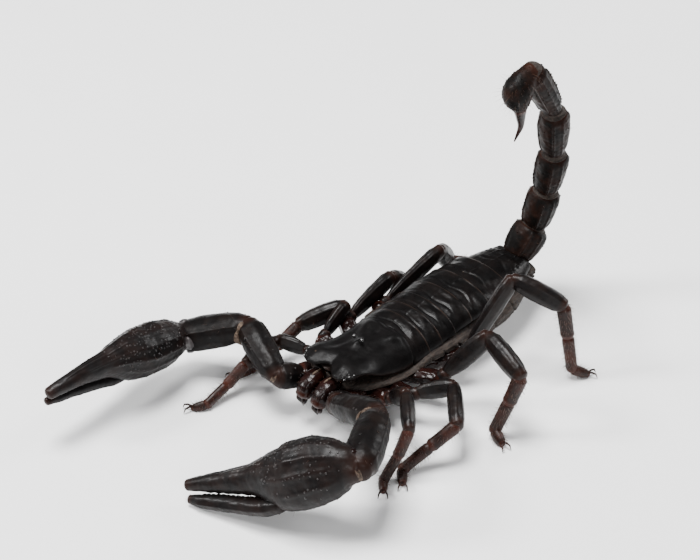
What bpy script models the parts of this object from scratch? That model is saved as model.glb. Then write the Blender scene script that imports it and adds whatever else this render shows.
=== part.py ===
"""Emperor scorpion, life size, standing with its tail raised and its pincers held forward.

Lengths are in millimetres in the body's own axes: the head looks along -Y, the animal's left side is +X and
the floor is z = 0. Every mesh is scaled to metres as it is made, and the whole model is then moved by its
parent empty so that its bounding box stands centred on the origin. Neighbouring plates and limb segments meet
on the plane that halves the bend between them, a small gap apart.
"""

import math

import bmesh
import bpy
from mathutils import Vector

MM = 0.001
X_WAY = Vector((1.0, 0.0, 0.0))
Y_WAY = Vector((0.0, 1.0, 0.0))
Z_WAY = Vector((0.0, 0.0, 1.0))
GAP = 0.3

# Driving dimensions of the body.
CARAPACE_LENGTH = 24.0
FRONT_Y = -40.0
REAR_Y = FRONT_Y + CARAPACE_LENGTH
TERGITE_LENGTHS = (4.6, 4.6, 5.0, 6.4, 7.4, 9.0, 13.0)
TAIL_Y = REAR_Y + sum(TERGITE_LENGTHS)
SHELL = 1.5
EDGE_TAPER = 0.6
EYE_Y = FRONT_Y + 12.8
TAIL_ROOT = Vector((0.0, TAIL_Y - 0.3, 13.6))

# Widths and heights along the body, as (y, value) knots that a smooth curve joins.
HALF_WIDTH = (
    (-40, 7.4), (-36, 8.6), (-28, 10.3), (-16, 11.4), (-4, 12.0),
    (8, 12.2), (20, 11.1), (28, 9.2), (34, 6.6),
)
RIDGE_Z = (
    (-40, 16.5), (-34, 17.2), (-26, 18.2), (-16, 17.8), (-4, 18.2),
    (8, 18.6), (20, 18.2), (28, 17.5), (34, 16.7),
)
EDGE_Z = ((-40, 15.5), (-34, 14.2), (-28, 13.0), (-22, 12.0), (-15, 11.5), (10, 11.6), (24, 12.0), (34, 12.6))
BELLY_Z = ((-38, 10.6), (-31, 9.5), (-9, 9.2), (-4, 8.8), (0, 6.8), (5, 4.6), (16, 4.2), (26, 5.8), (34, 8.6))
BELLY_BOWL = ((-8, 0.0), (3, 0.2))
TRUNK_REACH = ((-16, -2.2), (-5, -2.0), (3, 0.6))

# Tail segments I to V: length, half width, half height, elevation, and lean towards the left side.
TAIL = (
    (10.8, 4.9, 4.6, 57, 8),
    (12.8, 4.4, 4.3, 86, 12),
    (14.3, 4.2, 4.1, 96, 12),
    (16.2, 3.9, 3.9, 105, 8),
    (20.4, 3.4, 3.2, 123, 2),
)
TELSON = ((6.8, 215), (6.2, 289), (5.6, 279), (4.0, 235))

# Pincer limbs: trochanter, femur, patella and chela, as (length, azimuth, elevation).
PEDIPALP_ROOT = (8.4, -39.5, 9.6)
PEDIPALP_COXA = (4.2, -32.5, 7.6)
PEDIPALP_COXA_HALF = 2.6
PEDIPALP_HALF = ((3.4, 3.4), (3.9, 3.7), (4.7, 4.4))
PEDIPALP_POSE = {
    "left": ((7.5, -70, 37), (17.5, -7, 23), (19.5, -59, -1), (47.6, -151, -21.5)),
    "right": ((7.5, -104, 19), (17.5, 163, 16), (19.2, -148, -20), (45.8, -90, 6.2)),
}
# The way each palm hangs, from its fixed finger down to the movable one, and how far its middle bows back.
PALM_HANG = {"left": Vector((0.49, -0.34, -0.80)), "right": Vector((-0.30, -0.12, -0.95))}
PALM_BOW = {"left": (-0.8, 0.0), "right": (0.0, 2.1)}
PALM_SLIM = {"left": 1.0, "right": 0.78}

# Walking legs, front pair first: where the leg leaves its coxa on the left side, and the lengths of the
# femur with its trochanter, patella, tibia, basitarsus and foot.
HIPS = ((13.4, -30.0, 8.6), (16.0, -25.0, 8.6), (17.2, -14.5, 8.6), (15.2, -3.0, 8.6))
COXA_ROOTS = ((4.0, -28.0, 7.4), (4.5, -24.5, 7.4), (4.6, -20.5, 7.3), (4.4, -16.5, 7.2))
COXA_HALF = 1.65
BREASTPLATE_Z = 7.4
LEG_LENGTHS = (
    (10.6, 12.0, 7.4, 7.8, 6.4),
    (12.2, 13.4, 8.1, 9.6, 7.4),
    (18.8, 14.4, 8.2, 10.0, 7.1),
    (24.2, 14.8, 9.4, 10.6, 7.4),
)
LEG_GIRTH = (0.88, 0.98, 1.05, 1.0)
# Azimuth and elevation of femur, patella, tibia and basitarsus. The foot has an azimuth only, and ends on the
# floor.
LEG_POSE = {
    "left": (
        ((-10, 41), (-43, -7), (-102, -65), (-106, -57), -46),
        ((38, 19), (-44, -7), (-113, -33), (-113, -34), -44),
        ((41, 51), (-11, -16), (-130, -72), (-131, -70), -20),
        ((76, 54), (28, -22), (22, -79), (13, -79), 51),
    ),
    "right": (
        ((-163, 3), (-90, -6), (-97, -34), (-90, -18), -126),
        ((99, 24), (-122, -19), (-97, -27), (-103, -27), -105),
        ((93, 15), (104, -44), (75, -8), (45, -7), 20),
        ((90, 17), (118, -46), (60, -16), (20, -6), -20),
    ),
}
FEMUR_HALF = (1.8, 2.85)
PATELLA_HALF = (2.15, 3.0)
# Tibia, basitarsus and foot as (which of them, share of its length, share of its half width).
FOOT_HALVES = (1.8, 1.55, 1.25)
FOOT = (
    (0, -0.1, 0.8), (0, 0.08, 1.05), (0, 0.45, 1.0), (0, 0.93, 0.9), (1, 0.08, 1.0), (1, 0.88, 0.9),
    (2, 0.1, 1.1), (2, 0.45, 1.0), (2, 0.8, 0.85), (2, 1.0, 0.35),
)
FOOT_BEND = (2, 0.1)
# How far the foot's last rings are pressed into the floor, to leave a flat there.
SOLE = 0.2
SIDE_SIGN = {"left": 1, "right": -1}

# Outlines of limb segments, as (share of length, share of half width, share of half height).
FEMUR = (
    (0.0, 0.54, 0.5), (0.1, 0.58, 0.7), (0.3, 0.68, 0.94),
    (0.6, 0.84, 1.0), (0.86, 1.0, 0.88), (1.0, 0.9, 0.7),
)
PATELLA = (
    (0.0, 0.74, 0.6), (0.14, 0.92, 0.86), (0.4, 1.0, 1.0),
    (0.7, 1.0, 0.98), (0.9, 0.88, 0.84), (1.0, 0.76, 0.66),
)
TAIL_RING = (
    (0.0, 0.68, 0.66), (0.1, 0.84, 0.82), (0.3, 0.98, 0.97),
    (0.6, 1.04, 1.04), (0.88, 0.98, 1.0), (1.0, 0.82, 0.82),
)
ARM = (
    (0.0, 0.72, 0.72), (0.12, 0.92, 0.9), (0.4, 1.0, 1.0),
    (0.75, 1.02, 1.0), (0.92, 0.95, 0.92), (1.0, 0.8, 0.8),
)
COXA = ((0.0, 1.0, 0.9), (0.5, 1.12, 1.0), (0.9, 1.0, 1.0), (1.0, 0.85, 0.85))
# The breastplate, as (y, half width, half height), and a chelicera, as (y, z, half width, half height).
BREASTPLATE = (
    (-36.0, 3.0, 1.0), (-34.0, 5.0, 1.6), (-28.0, 6.0, 2.0),
    (-20.0, 6.2, 2.1), (-14.0, 5.4, 2.0), (-11.5, 3.6, 1.2),
)
CHELICERA = (
    (-37.0, 12.9, 1.8, 1.0),
    (-38.6, 12.9, 2.2, 1.5),
    (-40.9, 12.2, 2.5, 2.2),
    (-43.0, 10.8, 2.4, 2.4),
    (-44.4, 8.7, 2.0, 2.0),
    (-44.9, 6.5, 1.3, 1.3),
    (-44.6, 5.0, 0.5, 0.5),
)
CHELICERA_X = 2.75
# A median eye and the venom bulb and sting, as (height or share of length, radius).
MEDIAN_EYE = ((-0.35, 0.55), (-0.1, 0.8), (0.3, 0.72), (0.6, 0.4))
MEDIAN_EYE_X = 1.3
VENOM_BULB = ((0.0, 2.3), (0.25, 3.2), (0.55, 3.7), (0.8, 3.1), (0.93, 1.9), (1.0, 1.25))
STING = ((0.0, 1.25), (0.2, 1.0), (0.5, 0.75), (0.75, 0.52), (1.0, 0.27))

# Pincer outlines along the chela, as (share of length, fixed side, movable side, half depth), in millimetres.
PALM = (
    (0.0, 3.2, 3.2, 2.8),
    (0.05, 6.2, 4.4, 4.3),
    (0.12, 8.5, 6.0, 5.6),
    (0.22, 9.8, 7.1, 6.3),
    (0.34, 9.4, 7.7, 6.3),
    (0.45, 8.2, 7.6, 5.4),
    (0.465, 7.7, 2.6, 4.9),
    (0.6, 5.0, 2.2, 3.2),
    (0.78, 3.8, 1.1, 2.3),
    (0.93, 2.7, 0.2, 1.6),
    (0.985, 2.1, -0.3, 1.1),
    (1.0, 1.5, -0.7, 0.5),
)
FINGER = (
    (0.477, -3.4, 7.8, 3.3),
    (0.53, -3.3, 8.0, 3.2),
    (0.62, -3.0, 7.4, 2.7),
    (0.78, -2.2, 6.0, 2.1),
    (0.92, -1.9, 4.7, 1.5),
    (0.985, -1.9, 3.6, 0.6),
)

BLACK = (0.010, 0.009, 0.009)
BROWN_BLACK = (0.016, 0.010, 0.008)
RED_BROWN = (0.060, 0.018, 0.010)
MEMBRANE = (0.075, 0.060, 0.050)


def remove_everything():
    for old in list(bpy.data.objects):
        bpy.data.objects.remove(old)


def finish(name, colour, roughness):
    """A material of the part's own for one piece."""
    material = bpy.data.materials.new(name)
    material.use_nodes = True
    shader = material.node_tree.nodes["Principled BSDF"]
    shader.inputs["Base Color"].default_value = (*colour, 1.0)
    shader.inputs["Roughness"].default_value = roughness
    shader.inputs["Metallic"].default_value = 0.0
    material.diffuse_color = (*colour, 1.0)
    return material


def smooth_between(knots, at):
    """The value at a place along (place, value) knots, eased from knot to knot."""
    if at <= knots[0][0]:
        return knots[0][1]
    for (start, low), (end, high) in zip(knots, knots[1:]):
        if at <= end:
            share = (at - start) / (end - start)
            eased = share + 0.35 * share * (1 - share) * (2 * share - 1)
            return low + (high - low) * eased
    return knots[-1][1]


def heading(azimuth, elevation):
    azimuth, elevation = math.radians(azimuth), math.radians(elevation)
    level = math.cos(elevation)
    return Vector((math.cos(azimuth) * level, math.sin(azimuth) * level, math.sin(elevation)))


def tail_heading(elevation, lean):
    elevation, lean = math.radians(elevation), math.radians(lean)
    upright = math.cos(lean)
    return Vector((math.sin(lean), math.cos(elevation) * upright, math.sin(elevation) * upright))


def half_plane(point, before, after):
    """The plane that halves a bend: a point on it, and its normal looking the way the limb runs."""
    return point, (before + after).normalized()


def add_object(name, points, faces, colour, roughness=0.3):
    """One closed mesh from millimetre points, its faces turned outwards."""
    shape = bmesh.new()
    corners = [shape.verts.new(point * MM) for point in points]
    for face in faces:
        shape.faces.new([corners[index] for index in face])
    bmesh.ops.recalc_face_normals(shape, faces=shape.faces)
    mesh = bpy.data.meshes.new(name)
    shape.to_mesh(mesh)
    shape.free()
    mesh.shade_smooth()
    mesh.set_sharp_from_angle(angle=math.radians(40))
    piece = bpy.data.objects.new(name, mesh)
    mesh.materials.append(finish(name, colour, roughness))
    PARTS.objects.link(piece)
    piece.parent = ROOT
    return piece


def loft(rings):
    """Points and faces of a closed tube through rings of equal count, with a fan on each end."""
    count = len(rings[0])
    points = [point for ring in rings for point in ring]
    faces = []
    for row in range(len(rings) - 1):
        for column in range(count):
            following = (column + 1) % count
            low, high = row * count, (row + 1) * count
            faces.append((low + column, low + following, high + following, high + column))
    for ring, base in ((rings[0], 0), (rings[-1], (len(rings) - 1) * count)):
        centre = len(points)
        points.append(sum(ring, Vector()) / count)
        faces += [(base + column, base + (column + 1) % count, centre) for column in range(count)]
    return points, faces


def oval(centre, side, up, half_width, half_height, sides, power=2.3):
    """A ring of points on a squarish oval."""
    ring = []
    for step in range(sides):
        angle = 2 * math.pi * (step + 0.5) / sides
        across, above = math.cos(angle), math.sin(angle)
        across = math.copysign(abs(across) ** (2 / power), across)
        above = math.copysign(abs(above) ** (2 / power), above)
        ring.append(centre + side * across * half_width + up * above * half_height)
    return ring


def keep_behind(ring, plane, along, sign):
    """Slides points along the limb until they stand half a gap on their own side of a joint's plane."""
    if plane is None:
        return ring
    point, normal = plane
    kept = []
    for corner in ring:
        past = sign * (corner - point).dot(normal) + GAP / 2
        kept.append(corner - along * (past / normal.dot(along)) * sign if past > 0 else corner)
    return kept


def segment_rings(start, end, outline, half, up_hint, first_plane, last_plane, sides):
    """Rings of one limb segment: its outline and a rounded end past each joint, trimmed at the joints."""
    along = (end - start).normalized()
    side = along.cross(up_hint).normalized()
    up = side.cross(along)
    length = (end - start).length
    half_width, half_height = half
    stations = [(share * length, wide * half_width, high * half_height) for share, wide, high in outline]

    def reach(plane, radius):
        if plane is None:
            return 0.0
        cosine = max(0.05, plane[1].dot(along))
        return min(radius * math.sqrt(1 - cosine * cosine) / cosine, radius) + GAP

    first, last = stations[0], stations[-1]
    before, after = reach(first_plane, first[2]), reach(last_plane, last[2])
    leading = [(-before - 0.35 * first[2], 0.55 * first[1], 0.55 * first[2])]
    leading.append((-before, 0.9 * first[1], 0.9 * first[2]))
    trailing = [(length + after, 0.9 * last[1], 0.9 * last[2])]
    trailing.append((length + after + 0.35 * last[2], 0.55 * last[1], 0.55 * last[2]))
    rings = []
    for place, wide, high in leading + stations + trailing:
        ring = oval(start + along * place, side, up, wide, high, sides)
        ring = keep_behind(ring, last_plane, along, 1)
        rings.append(keep_behind(ring, first_plane, along, -1))
    return rings


def add_segment(name, start, end, outline, half, up_hint, first_plane, last_plane, colour, sides=8):
    rings = segment_rings(start, end, outline, half, up_hint, first_plane, last_plane, sides)
    return add_object(name, *loft(rings), colour)


def shell_faces(columns, rows):
    """Faces of a closed plate: a grid on top, the same grid below, and walls all round."""
    wide = columns + 1
    under = wide * (rows + 1)
    faces = []
    for row in range(rows):
        for column in range(columns):
            corner = row * wide + column
            top = (corner, corner + 1, corner + wide + 1, corner + wide)
            faces += [top, tuple(under + index for index in reversed(top))]
    rim = [column for column in range(columns)]
    rim += [row * wide + columns for row in range(rows)]
    rim += [rows * wide + columns - column for column in range(columns)]
    rim += [(rows - row) * wide for row in range(rows)]
    for index, corner in enumerate(rim):
        following = rim[(index + 1) % len(rim)]
        faces.append((corner, under + corner, under + following, following))
    return faces


def add_plate(name, top, thickness, columns, rows, colour, plane=None):
    """A plate with its upper side a function of (across -1..1, along 0..1), and thinner towards its edges."""
    upper, lower = [], []
    for row in range(rows + 1):
        for column in range(columns + 1):
            across = math.sin(math.pi * (column / columns - 0.5))
            point = top(across, row / rows)
            upper.append(point)
            depth = thickness * (1 - EDGE_TAPER * across * across)
            lower.append(point - Vector((0.4 * thickness * across, 0, depth)))
    points = upper + lower
    if plane is not None:
        points = keep_behind(points, plane, Y_WAY, 1)
    return add_object(name, points, shell_faces(columns, rows), colour)


def body_half_width(y):
    return smooth_between(HALF_WIDTH, y)


def back_height(across, y):
    """Height of the back at a share across it: a low arch from the plates' edges to the ridge."""
    edge, ridge = smooth_between(EDGE_Z, y), smooth_between(RIDGE_Z, y)
    return edge + (ridge - edge) * max(0.0, 1 - abs(across) ** 2.3) ** 0.62


def carapace_top(across, along):
    notch = 3.2 * max(0.0, 1 - abs(across) / 0.5) ** 1.3
    corner = 3.4 * max(0.0, (abs(across) - 0.62) / 0.38) ** 2
    front = FRONT_Y + notch + corner
    rear = REAR_Y - GAP / 2 - 0.8 * across * across
    y = front + (rear - front) * along
    x = across * body_half_width(y)
    tubercle = 0.9 * math.exp(-((x / 1.7) ** 2) - ((y - EYE_Y) / 2.6) ** 2)
    furrow = 0.9 * math.exp(-((x / 1.6) ** 2)) * max(0.0, 1 - abs(y - EYE_Y + 8.0) / 8.0)
    rear_furrow = 0.6 * math.exp(-((x / 1.4) ** 2)) * max(0.0, 1 - abs(y - EYE_Y - 7.5) / 5.0)
    return Vector((x, y, back_height(across, y) + tubercle - furrow - rear_furrow))


def tergite_top(start, end):
    """The upper side of one back plate, whose rear margin stands a little over the next plate's front."""

    def top(across, along):
        y = start + GAP / 2 + (end - start - GAP) * along - 0.7 * across * across
        lift = -0.25 + 0.45 * along
        return Vector((across * body_half_width(y), y, back_height(across, y) + lift))

    return top


def add_back():
    add_plate("carapace", carapace_top, SHELL, 14, 10, BLACK)
    tail_plane = half_plane(TAIL_ROOT, Y_WAY, tail_heading(*TAIL[0][3:]))
    start = REAR_Y
    for number, length in enumerate(TERGITE_LENGTHS, 1):
        top = tergite_top(start, start + length)
        start += length
        if number < len(TERGITE_LENGTHS):
            add_plate(f"tergite_{number}", top, SHELL, 12, 2, BLACK)
        else:
            add_plate(f"tergite_{number}", top, SHELL, 12, 4, BLACK, tail_plane)
    return tail_plane


def belly_height(across, y):
    """Height of the belly plates' upper side: a flat bowl that rises to its edges."""
    bowl = smooth_between(BELLY_BOWL, y) * body_half_width(y)
    return smooth_between(BELLY_Z, y) + 1.0 + bowl * abs(across) ** 2.4


def trunk_ring(y):
    """One ring of the soft body: under the back plates, out at the flanks, over the belly plates or coxae."""
    reach = body_half_width(y) + smooth_between(TRUNK_REACH, y)
    sink = SHELL + 3 * GAP

    def low(across):
        return belly_height(0.92 * across, y) + 2 * GAP

    def high(across):
        under = back_height(across * reach / body_half_width(y), y) - sink + 0.5 * SHELL * across * across
        return max(under, low(across) + 0.4)

    flank = smooth_between(EDGE_Z, y) - 1.5
    flank = max(flank, low(0.85) + 0.5)
    middle = 0.5 * (flank + low(0.85))
    shares = (0.93, 0.75, 0.45, 0.0, -0.45, -0.75, -0.93)
    ring = [Vector((across * (reach - 1.0), y, high(across))) for across in shares]
    ring += [Vector((-reach, y, flank)), Vector((-reach - 0.3, y, middle))]
    ring += [Vector((across * reach, y, low(across))) for across in (-0.86, -0.45, 0.0, 0.45, 0.86)]
    return ring + [Vector((reach + 0.3, y, middle)), Vector((reach, y, flank))]


def add_trunk(tail_plane):
    """The soft body under the plates, which shows as a band between the back plates and the belly plates."""
    stations = (-36.5, -33, -27, -20, -13, -7, -2, 3, 10, 18, 26, 31, 35.5)
    rings = [keep_behind(trunk_ring(y), tail_plane, Y_WAY, 1) for y in stations]
    return add_object("body_membrane", *loft(rings), MEMBRANE, 0.6)


def add_belly(tail_plane):
    """The belly plates as one curved shield, and the two combs in front of it."""

    def shield(across, along):
        y = 3.0 + (TAIL_Y + 2.5 - 3.0) * along
        return Vector((across * 0.9 * body_half_width(min(y, TAIL_Y)), y, belly_height(0.9 * across, y)))

    add_plate("belly_plates", shield, 1.0, 8, 7, BROWN_BLACK, tail_plane)
    for side, sign in SIDE_SIGN.items():
        root, tip = Vector((sign * 2.2, -8.0, 5.6)), Vector((sign * 13.2, 2.0, 4.6))

        def comb(across, along, root=root, tip=tip):
            spine = root.lerp(tip, along)
            back = Vector((-0.5 * math.copysign(1, root.x), 1, 0)).normalized()
            return spine + back * across * (1.6 - 0.8 * along)

        add_plate(f"comb_{side}", comb, 0.7, 4, 5, MEMBRANE)


def mirrored(place, side):
    """A place of the left side, on the side asked for."""
    return Vector((SIDE_SIGN[side] * place[0], place[1], place[2]))


def add_coxosternum():
    """The breastplate and the ten coxae that carry the limbs, joined into one body."""
    rings = []
    for y, wide, high in BREASTPLATE:
        rings.append(oval(Vector((0, y, BREASTPLATE_Z)), X_WAY, Z_WAY, wide, high, 12))
    body = add_object("coxosternum", *loft(rings), RED_BROWN)
    for side in SIDE_SIGN:
        limbs = [(PEDIPALP_COXA, PEDIPALP_ROOT, PEDIPALP_COXA_HALF, PEDIPALP_POSE[side][0][1:])]
        for coxa_root, hip, pose in zip(COXA_ROOTS, HIPS, LEG_POSE[side]):
            limbs.append((coxa_root, hip, COXA_HALF, pose[0]))
        for inner, outer, radius, onward in limbs:
            root, end = mirrored(inner, side), mirrored(outer, side)
            plane = half_plane(end, (end - root).normalized(), heading(*onward))
            rings = segment_rings(root, end, COXA, (1.15 * radius, radius), Z_WAY, None, plane, 8)
            coxa = add_object("coxa", *loft(rings), RED_BROWN)
            join = body.modifiers.new("coxa", "BOOLEAN")
            join.operation, join.object = "UNION", coxa
            shape = bpy.data.meshes.new_from_object(body.evaluated_get(bpy.context.evaluated_depsgraph_get()))
            body.modifiers.clear()
            body.data = shape
            bpy.data.objects.remove(coxa)


def add_head():
    """The two median eyes on their tubercle, and the two chelicerae under the front margin."""
    eye_height = carapace_top(0.1, 0.5).z + 0.75
    for side, sign in SIDE_SIGN.items():
        rings = []
        for level, radius in MEDIAN_EYE:
            centre = Vector((sign * (MEDIAN_EYE_X + 0.35 * level), EYE_Y, eye_height + level))
            rings.append(oval(centre, X_WAY, Y_WAY, radius, radius, 8, 2.0))
        add_object(f"median_eye_{side}", *loft(rings), BLACK, 0.1)
        rings = []
        for index, (y, z, wide, high) in enumerate(CHELICERA):
            bend = math.radians(14 * index)
            up = Vector((0, -math.sin(bend), math.cos(bend)))
            rings.append(oval(Vector((sign * CHELICERA_X, y, z)), X_WAY, up, wide, high, 10))
        add_object(f"chelicera_{side}", *loft(rings), RED_BROWN)


def limb_points(root, steps):
    points = [root]
    for length, along in steps:
        points.append(points[-1] + along * length)
    return points


def joint_planes(root_plane, points):
    """The planes between the segments of a limb, with the first one given and nothing at its tip."""
    planes = [root_plane]
    for before, here, after in zip(points, points[1:], points[2:]):
        planes.append(half_plane(here, (here - before).normalized(), (after - here).normalized()))
    return planes + [None]


def add_chela(side, base, along, root_plane):
    """The palm with its fixed finger, and the movable finger below and outside it."""
    length = PEDIPALP_POSE[side][3][0]
    hang = PALM_HANG[side]
    movable = (hang - along * hang.dot(along)).normalized()
    flat = along.cross(movable)

    def rings_of(outline, sides):
        rings = []
        for share, over, under, deep in outline:
            even, late = PALM_BOW[side]
            bow = even * 4 * share * (1 - share) + late * 6.75 * share * share * (1 - share)
            slim = PALM_SLIM[side]
            if outline is PALM:
                slim += (1 - slim) * min(1.0, max(0.0, (share - 0.3) / 0.25))
            over, under = over * slim, under * slim
            centre = base + along * share * length + movable * (0.5 * (under - over) - bow)
            rings.append(oval(centre, movable, flat, 0.5 * (under + over), deep, sides, 2.2))
        return rings

    rings = [keep_behind(ring, root_plane, along, -1) for ring in rings_of(PALM, 12)]
    add_object(f"pedipalp_{side}_palm", *loft(rings), BROWN_BLACK)
    rings = rings_of(FINGER, 10)
    add_object(f"pedipalp_{side}_finger", *loft(rings), BROWN_BLACK)


def add_pedipalp(side):
    root = mirrored(PEDIPALP_ROOT, side)
    steps = [(length, heading(azimuth, elevation)) for length, azimuth, elevation in PEDIPALP_POSE[side]]
    points = limb_points(root, steps)
    first = half_plane(root, (root - mirrored(PEDIPALP_COXA, side)).normalized(), steps[0][1])
    planes = joint_planes(first, points)
    for index, part in enumerate(("trochanter", "femur", "patella")):
        add_segment(
            f"pedipalp_{side}_{part}", points[index], points[index + 1], ARM, PEDIPALP_HALF[index],
            Z_WAY, planes[index], planes[index + 1], BROWN_BLACK, 10,
        )
    add_chela(side, points[3], steps[3][1], planes[3])


def add_foot(name, points, first_plane, girth):
    """Tibia, basitarsus and foot in one tube along their joints, with a flat under the foot."""
    sections = [(start, end - start) for start, end in zip(points, points[1:])]
    ways = [run.normalized() for _, run in sections]
    turned = (ways[1] + 2 * ways[2]).normalized()
    rings = []
    for number, share, thickness in FOOT:
        start, run = sections[number]
        along = turned if (number, share) == FOOT_BEND else ways[number]
        radius = thickness * FOOT_HALVES[number] * girth
        side = along.cross(Z_WAY).normalized()
        ring = oval(start + run * share, side, side.cross(along), radius, 1.1 * radius, 8, 2.0)
        if number == 0 and share < 0.5:
            ring = keep_behind(ring, first_plane, ways[0], -1)
        settle = min(corner.z for corner in ring) + SOLE if number == 2 and share > 0.7 else 0.0
        rings.append([Vector((corner.x, corner.y, max(corner.z - settle, 0.0))) for corner in ring])
    add_object(name, *loft(rings), RED_BROWN, 0.4)


def add_leg(side, index):
    lengths, girth = LEG_LENGTHS[index], LEG_GIRTH[index]
    *ways, foot_azimuth = LEG_POSE[side][index]
    root = mirrored(HIPS[index], side)
    steps = [(length, heading(*way)) for length, way in zip(lengths, ways)]
    points = limb_points(root, steps)
    drop = points[-1].z - 0.55 * FOOT_HALVES[2] * girth
    slope = -math.degrees(math.asin(drop / lengths[4]))
    points.append(points[-1] + heading(foot_azimuth, slope) * lengths[4])
    coxa_way = (root - mirrored(COXA_ROOTS[index], side)).normalized()
    planes = joint_planes(half_plane(root, coxa_way, steps[0][1]), points)
    name = f"leg_{side}_{index + 1}"
    half = [thickness * girth for thickness in FEMUR_HALF]
    add_segment(f"{name}_femur", *points[:2], FEMUR, half, Z_WAY, *planes[:2], BROWN_BLACK)
    half = [thickness * girth for thickness in PATELLA_HALF]
    add_segment(f"{name}_patella", *points[1:3], PATELLA, half, Z_WAY, *planes[1:3], BROWN_BLACK)
    add_foot(f"{name}_foot", points[2:], planes[2], girth)


def add_tail(tail_plane):
    steps = [(length, tail_heading(elevation, lean)) for length, _, _, elevation, lean in TAIL]
    points = limb_points(TAIL_ROOT.copy(), steps)
    planes = joint_planes(tail_plane, points)
    sting_steps = [(length, tail_heading(elevation, 0)) for length, elevation in TELSON]
    sting = limb_points(points[-1], sting_steps)
    planes[-1] = half_plane(points[-1], steps[-1][1], sting_steps[0][1])
    for index, (_, half_width, half_height, elevation, _) in enumerate(TAIL):
        dorsal = tail_heading(elevation + 90, 0)
        add_segment(
            f"tail_{index + 1}", points[index], points[index + 1], TAIL_RING, (half_width, half_height),
            dorsal, planes[index], planes[index + 1], BROWN_BLACK, 10,
        )
    neck_plane = half_plane(sting[2], sting_steps[1][1], sting_steps[2][1])
    rings = []
    for share, radius in VENOM_BULB:
        centre = sting[0].lerp(sting[1], share * 2) if share < 0.5 else sting[1].lerp(sting[2], share * 2 - 1)
        way = sting_steps[0][1].lerp(sting_steps[1][1], min(1.0, share * 1.3)).normalized()
        ring = oval(centre, X_WAY, X_WAY.cross(way), radius, radius, 10, 2.0)
        ring = keep_behind(ring, planes[-1], sting_steps[0][1], -1)
        rings.append(keep_behind(ring, neck_plane, sting_steps[1][1], 1))
    add_object("venom_bulb", *loft(rings), BROWN_BLACK)
    rings = []
    for share, radius in STING:
        centre = sting[2].lerp(sting[3], share * 2) if share < 0.5 else sting[3].lerp(sting[4], share * 2 - 1)
        way = sting_steps[2][1].lerp(sting_steps[3][1], share).normalized()
        ring = oval(centre, X_WAY, X_WAY.cross(way), radius, radius, 8, 2.0)
        rings.append(keep_behind(ring, neck_plane, sting_steps[2][1], -1))
    add_object("sting", *loft(rings), RED_BROWN)


def centre_on_origin():
    """Moves the parent empty so that the model's box stands centred on the origin."""
    bpy.context.view_layer.update()
    corners = [piece.matrix_world @ corner.co for piece in PARTS.objects for corner in piece.data.vertices]
    low = [min(corner[axis] for corner in corners) for axis in range(3)]
    high = [max(corner[axis] for corner in corners) for axis in range(3)]
    ROOT.location = (-(low[0] + high[0]) / 2, -(low[1] + high[1]) / 2, -low[2])


remove_everything()
PARTS = bpy.data.collections.new("emperor_scorpion")
bpy.context.scene.collection.children.link(PARTS)
ROOT = bpy.data.objects.new("scorpion_root", None)
bpy.context.scene.collection.objects.link(ROOT)

belly_end = add_back()
add_trunk(belly_end)
add_belly(belly_end)
add_coxosternum()
add_head()
for limb_side in SIDE_SIGN:
    add_pedipalp(limb_side)
    for leg_index in range(len(HIPS)):
        add_leg(limb_side, leg_index)
add_tail(belly_end)
centre_on_origin()
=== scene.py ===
"""Looks of a life-size emperor scorpion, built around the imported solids.

Lengths are in millimetres in the body's own axes: the head looks along -Y, the animal's left side is +X and
the floor is z = 0. A shell is grown as grids of points, turned into a plain mesh in metres, and rides on the
one body of the model. Granules and bristles are grown on the finished shells with Geometry Nodes.
"""

import logging
import math
from collections.abc import Callable
from dataclasses import dataclass, field
from enum import Enum
from functools import partial

import bmesh
import bpy
import numpy as np
from mathutils import Matrix, Vector

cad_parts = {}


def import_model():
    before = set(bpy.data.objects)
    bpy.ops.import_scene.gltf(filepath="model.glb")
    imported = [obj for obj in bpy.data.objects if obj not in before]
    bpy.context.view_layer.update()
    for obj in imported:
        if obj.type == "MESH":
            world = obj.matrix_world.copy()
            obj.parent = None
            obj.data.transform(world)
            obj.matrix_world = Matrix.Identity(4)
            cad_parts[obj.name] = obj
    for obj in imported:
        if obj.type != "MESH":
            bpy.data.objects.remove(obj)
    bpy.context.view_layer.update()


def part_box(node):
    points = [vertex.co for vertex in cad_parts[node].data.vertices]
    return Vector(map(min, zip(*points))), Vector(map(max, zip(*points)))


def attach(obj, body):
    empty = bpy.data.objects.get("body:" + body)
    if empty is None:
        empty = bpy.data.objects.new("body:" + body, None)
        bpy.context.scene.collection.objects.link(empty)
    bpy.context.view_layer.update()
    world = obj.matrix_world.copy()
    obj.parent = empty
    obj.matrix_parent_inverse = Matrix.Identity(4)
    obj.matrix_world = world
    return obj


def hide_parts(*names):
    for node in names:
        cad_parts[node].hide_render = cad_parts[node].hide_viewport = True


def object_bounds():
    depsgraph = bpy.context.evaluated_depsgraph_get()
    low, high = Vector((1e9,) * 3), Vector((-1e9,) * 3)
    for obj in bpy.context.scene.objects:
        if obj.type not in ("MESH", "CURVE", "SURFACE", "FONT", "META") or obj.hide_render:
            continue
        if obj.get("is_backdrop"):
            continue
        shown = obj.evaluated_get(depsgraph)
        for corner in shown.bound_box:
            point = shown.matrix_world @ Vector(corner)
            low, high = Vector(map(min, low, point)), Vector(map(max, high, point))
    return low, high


Knots = tuple[tuple[float, ...], ...]
Place = tuple[float, float, float]
Inputs = dict[str | int, object]
Array = np.ndarray
Adder = Callable[..., bpy.types.Node]

LOG = logging.getLogger("emperor_scorpion")
MM = 0.001
BODY = "root"
SIDES = {"left": 1.0, "right": -1.0}
UP = np.array((0.0, 0.0, 1.0))
FORWARD = np.array((0.0, -1.0, 0.0))
EVEN: Knots = ((0, 1, 1), (1, 1, 1))
BALL: Knots = ((0, 0.8, 0.8), (0.5, 1, 1), (1, 0.8, 0.8))

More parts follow.
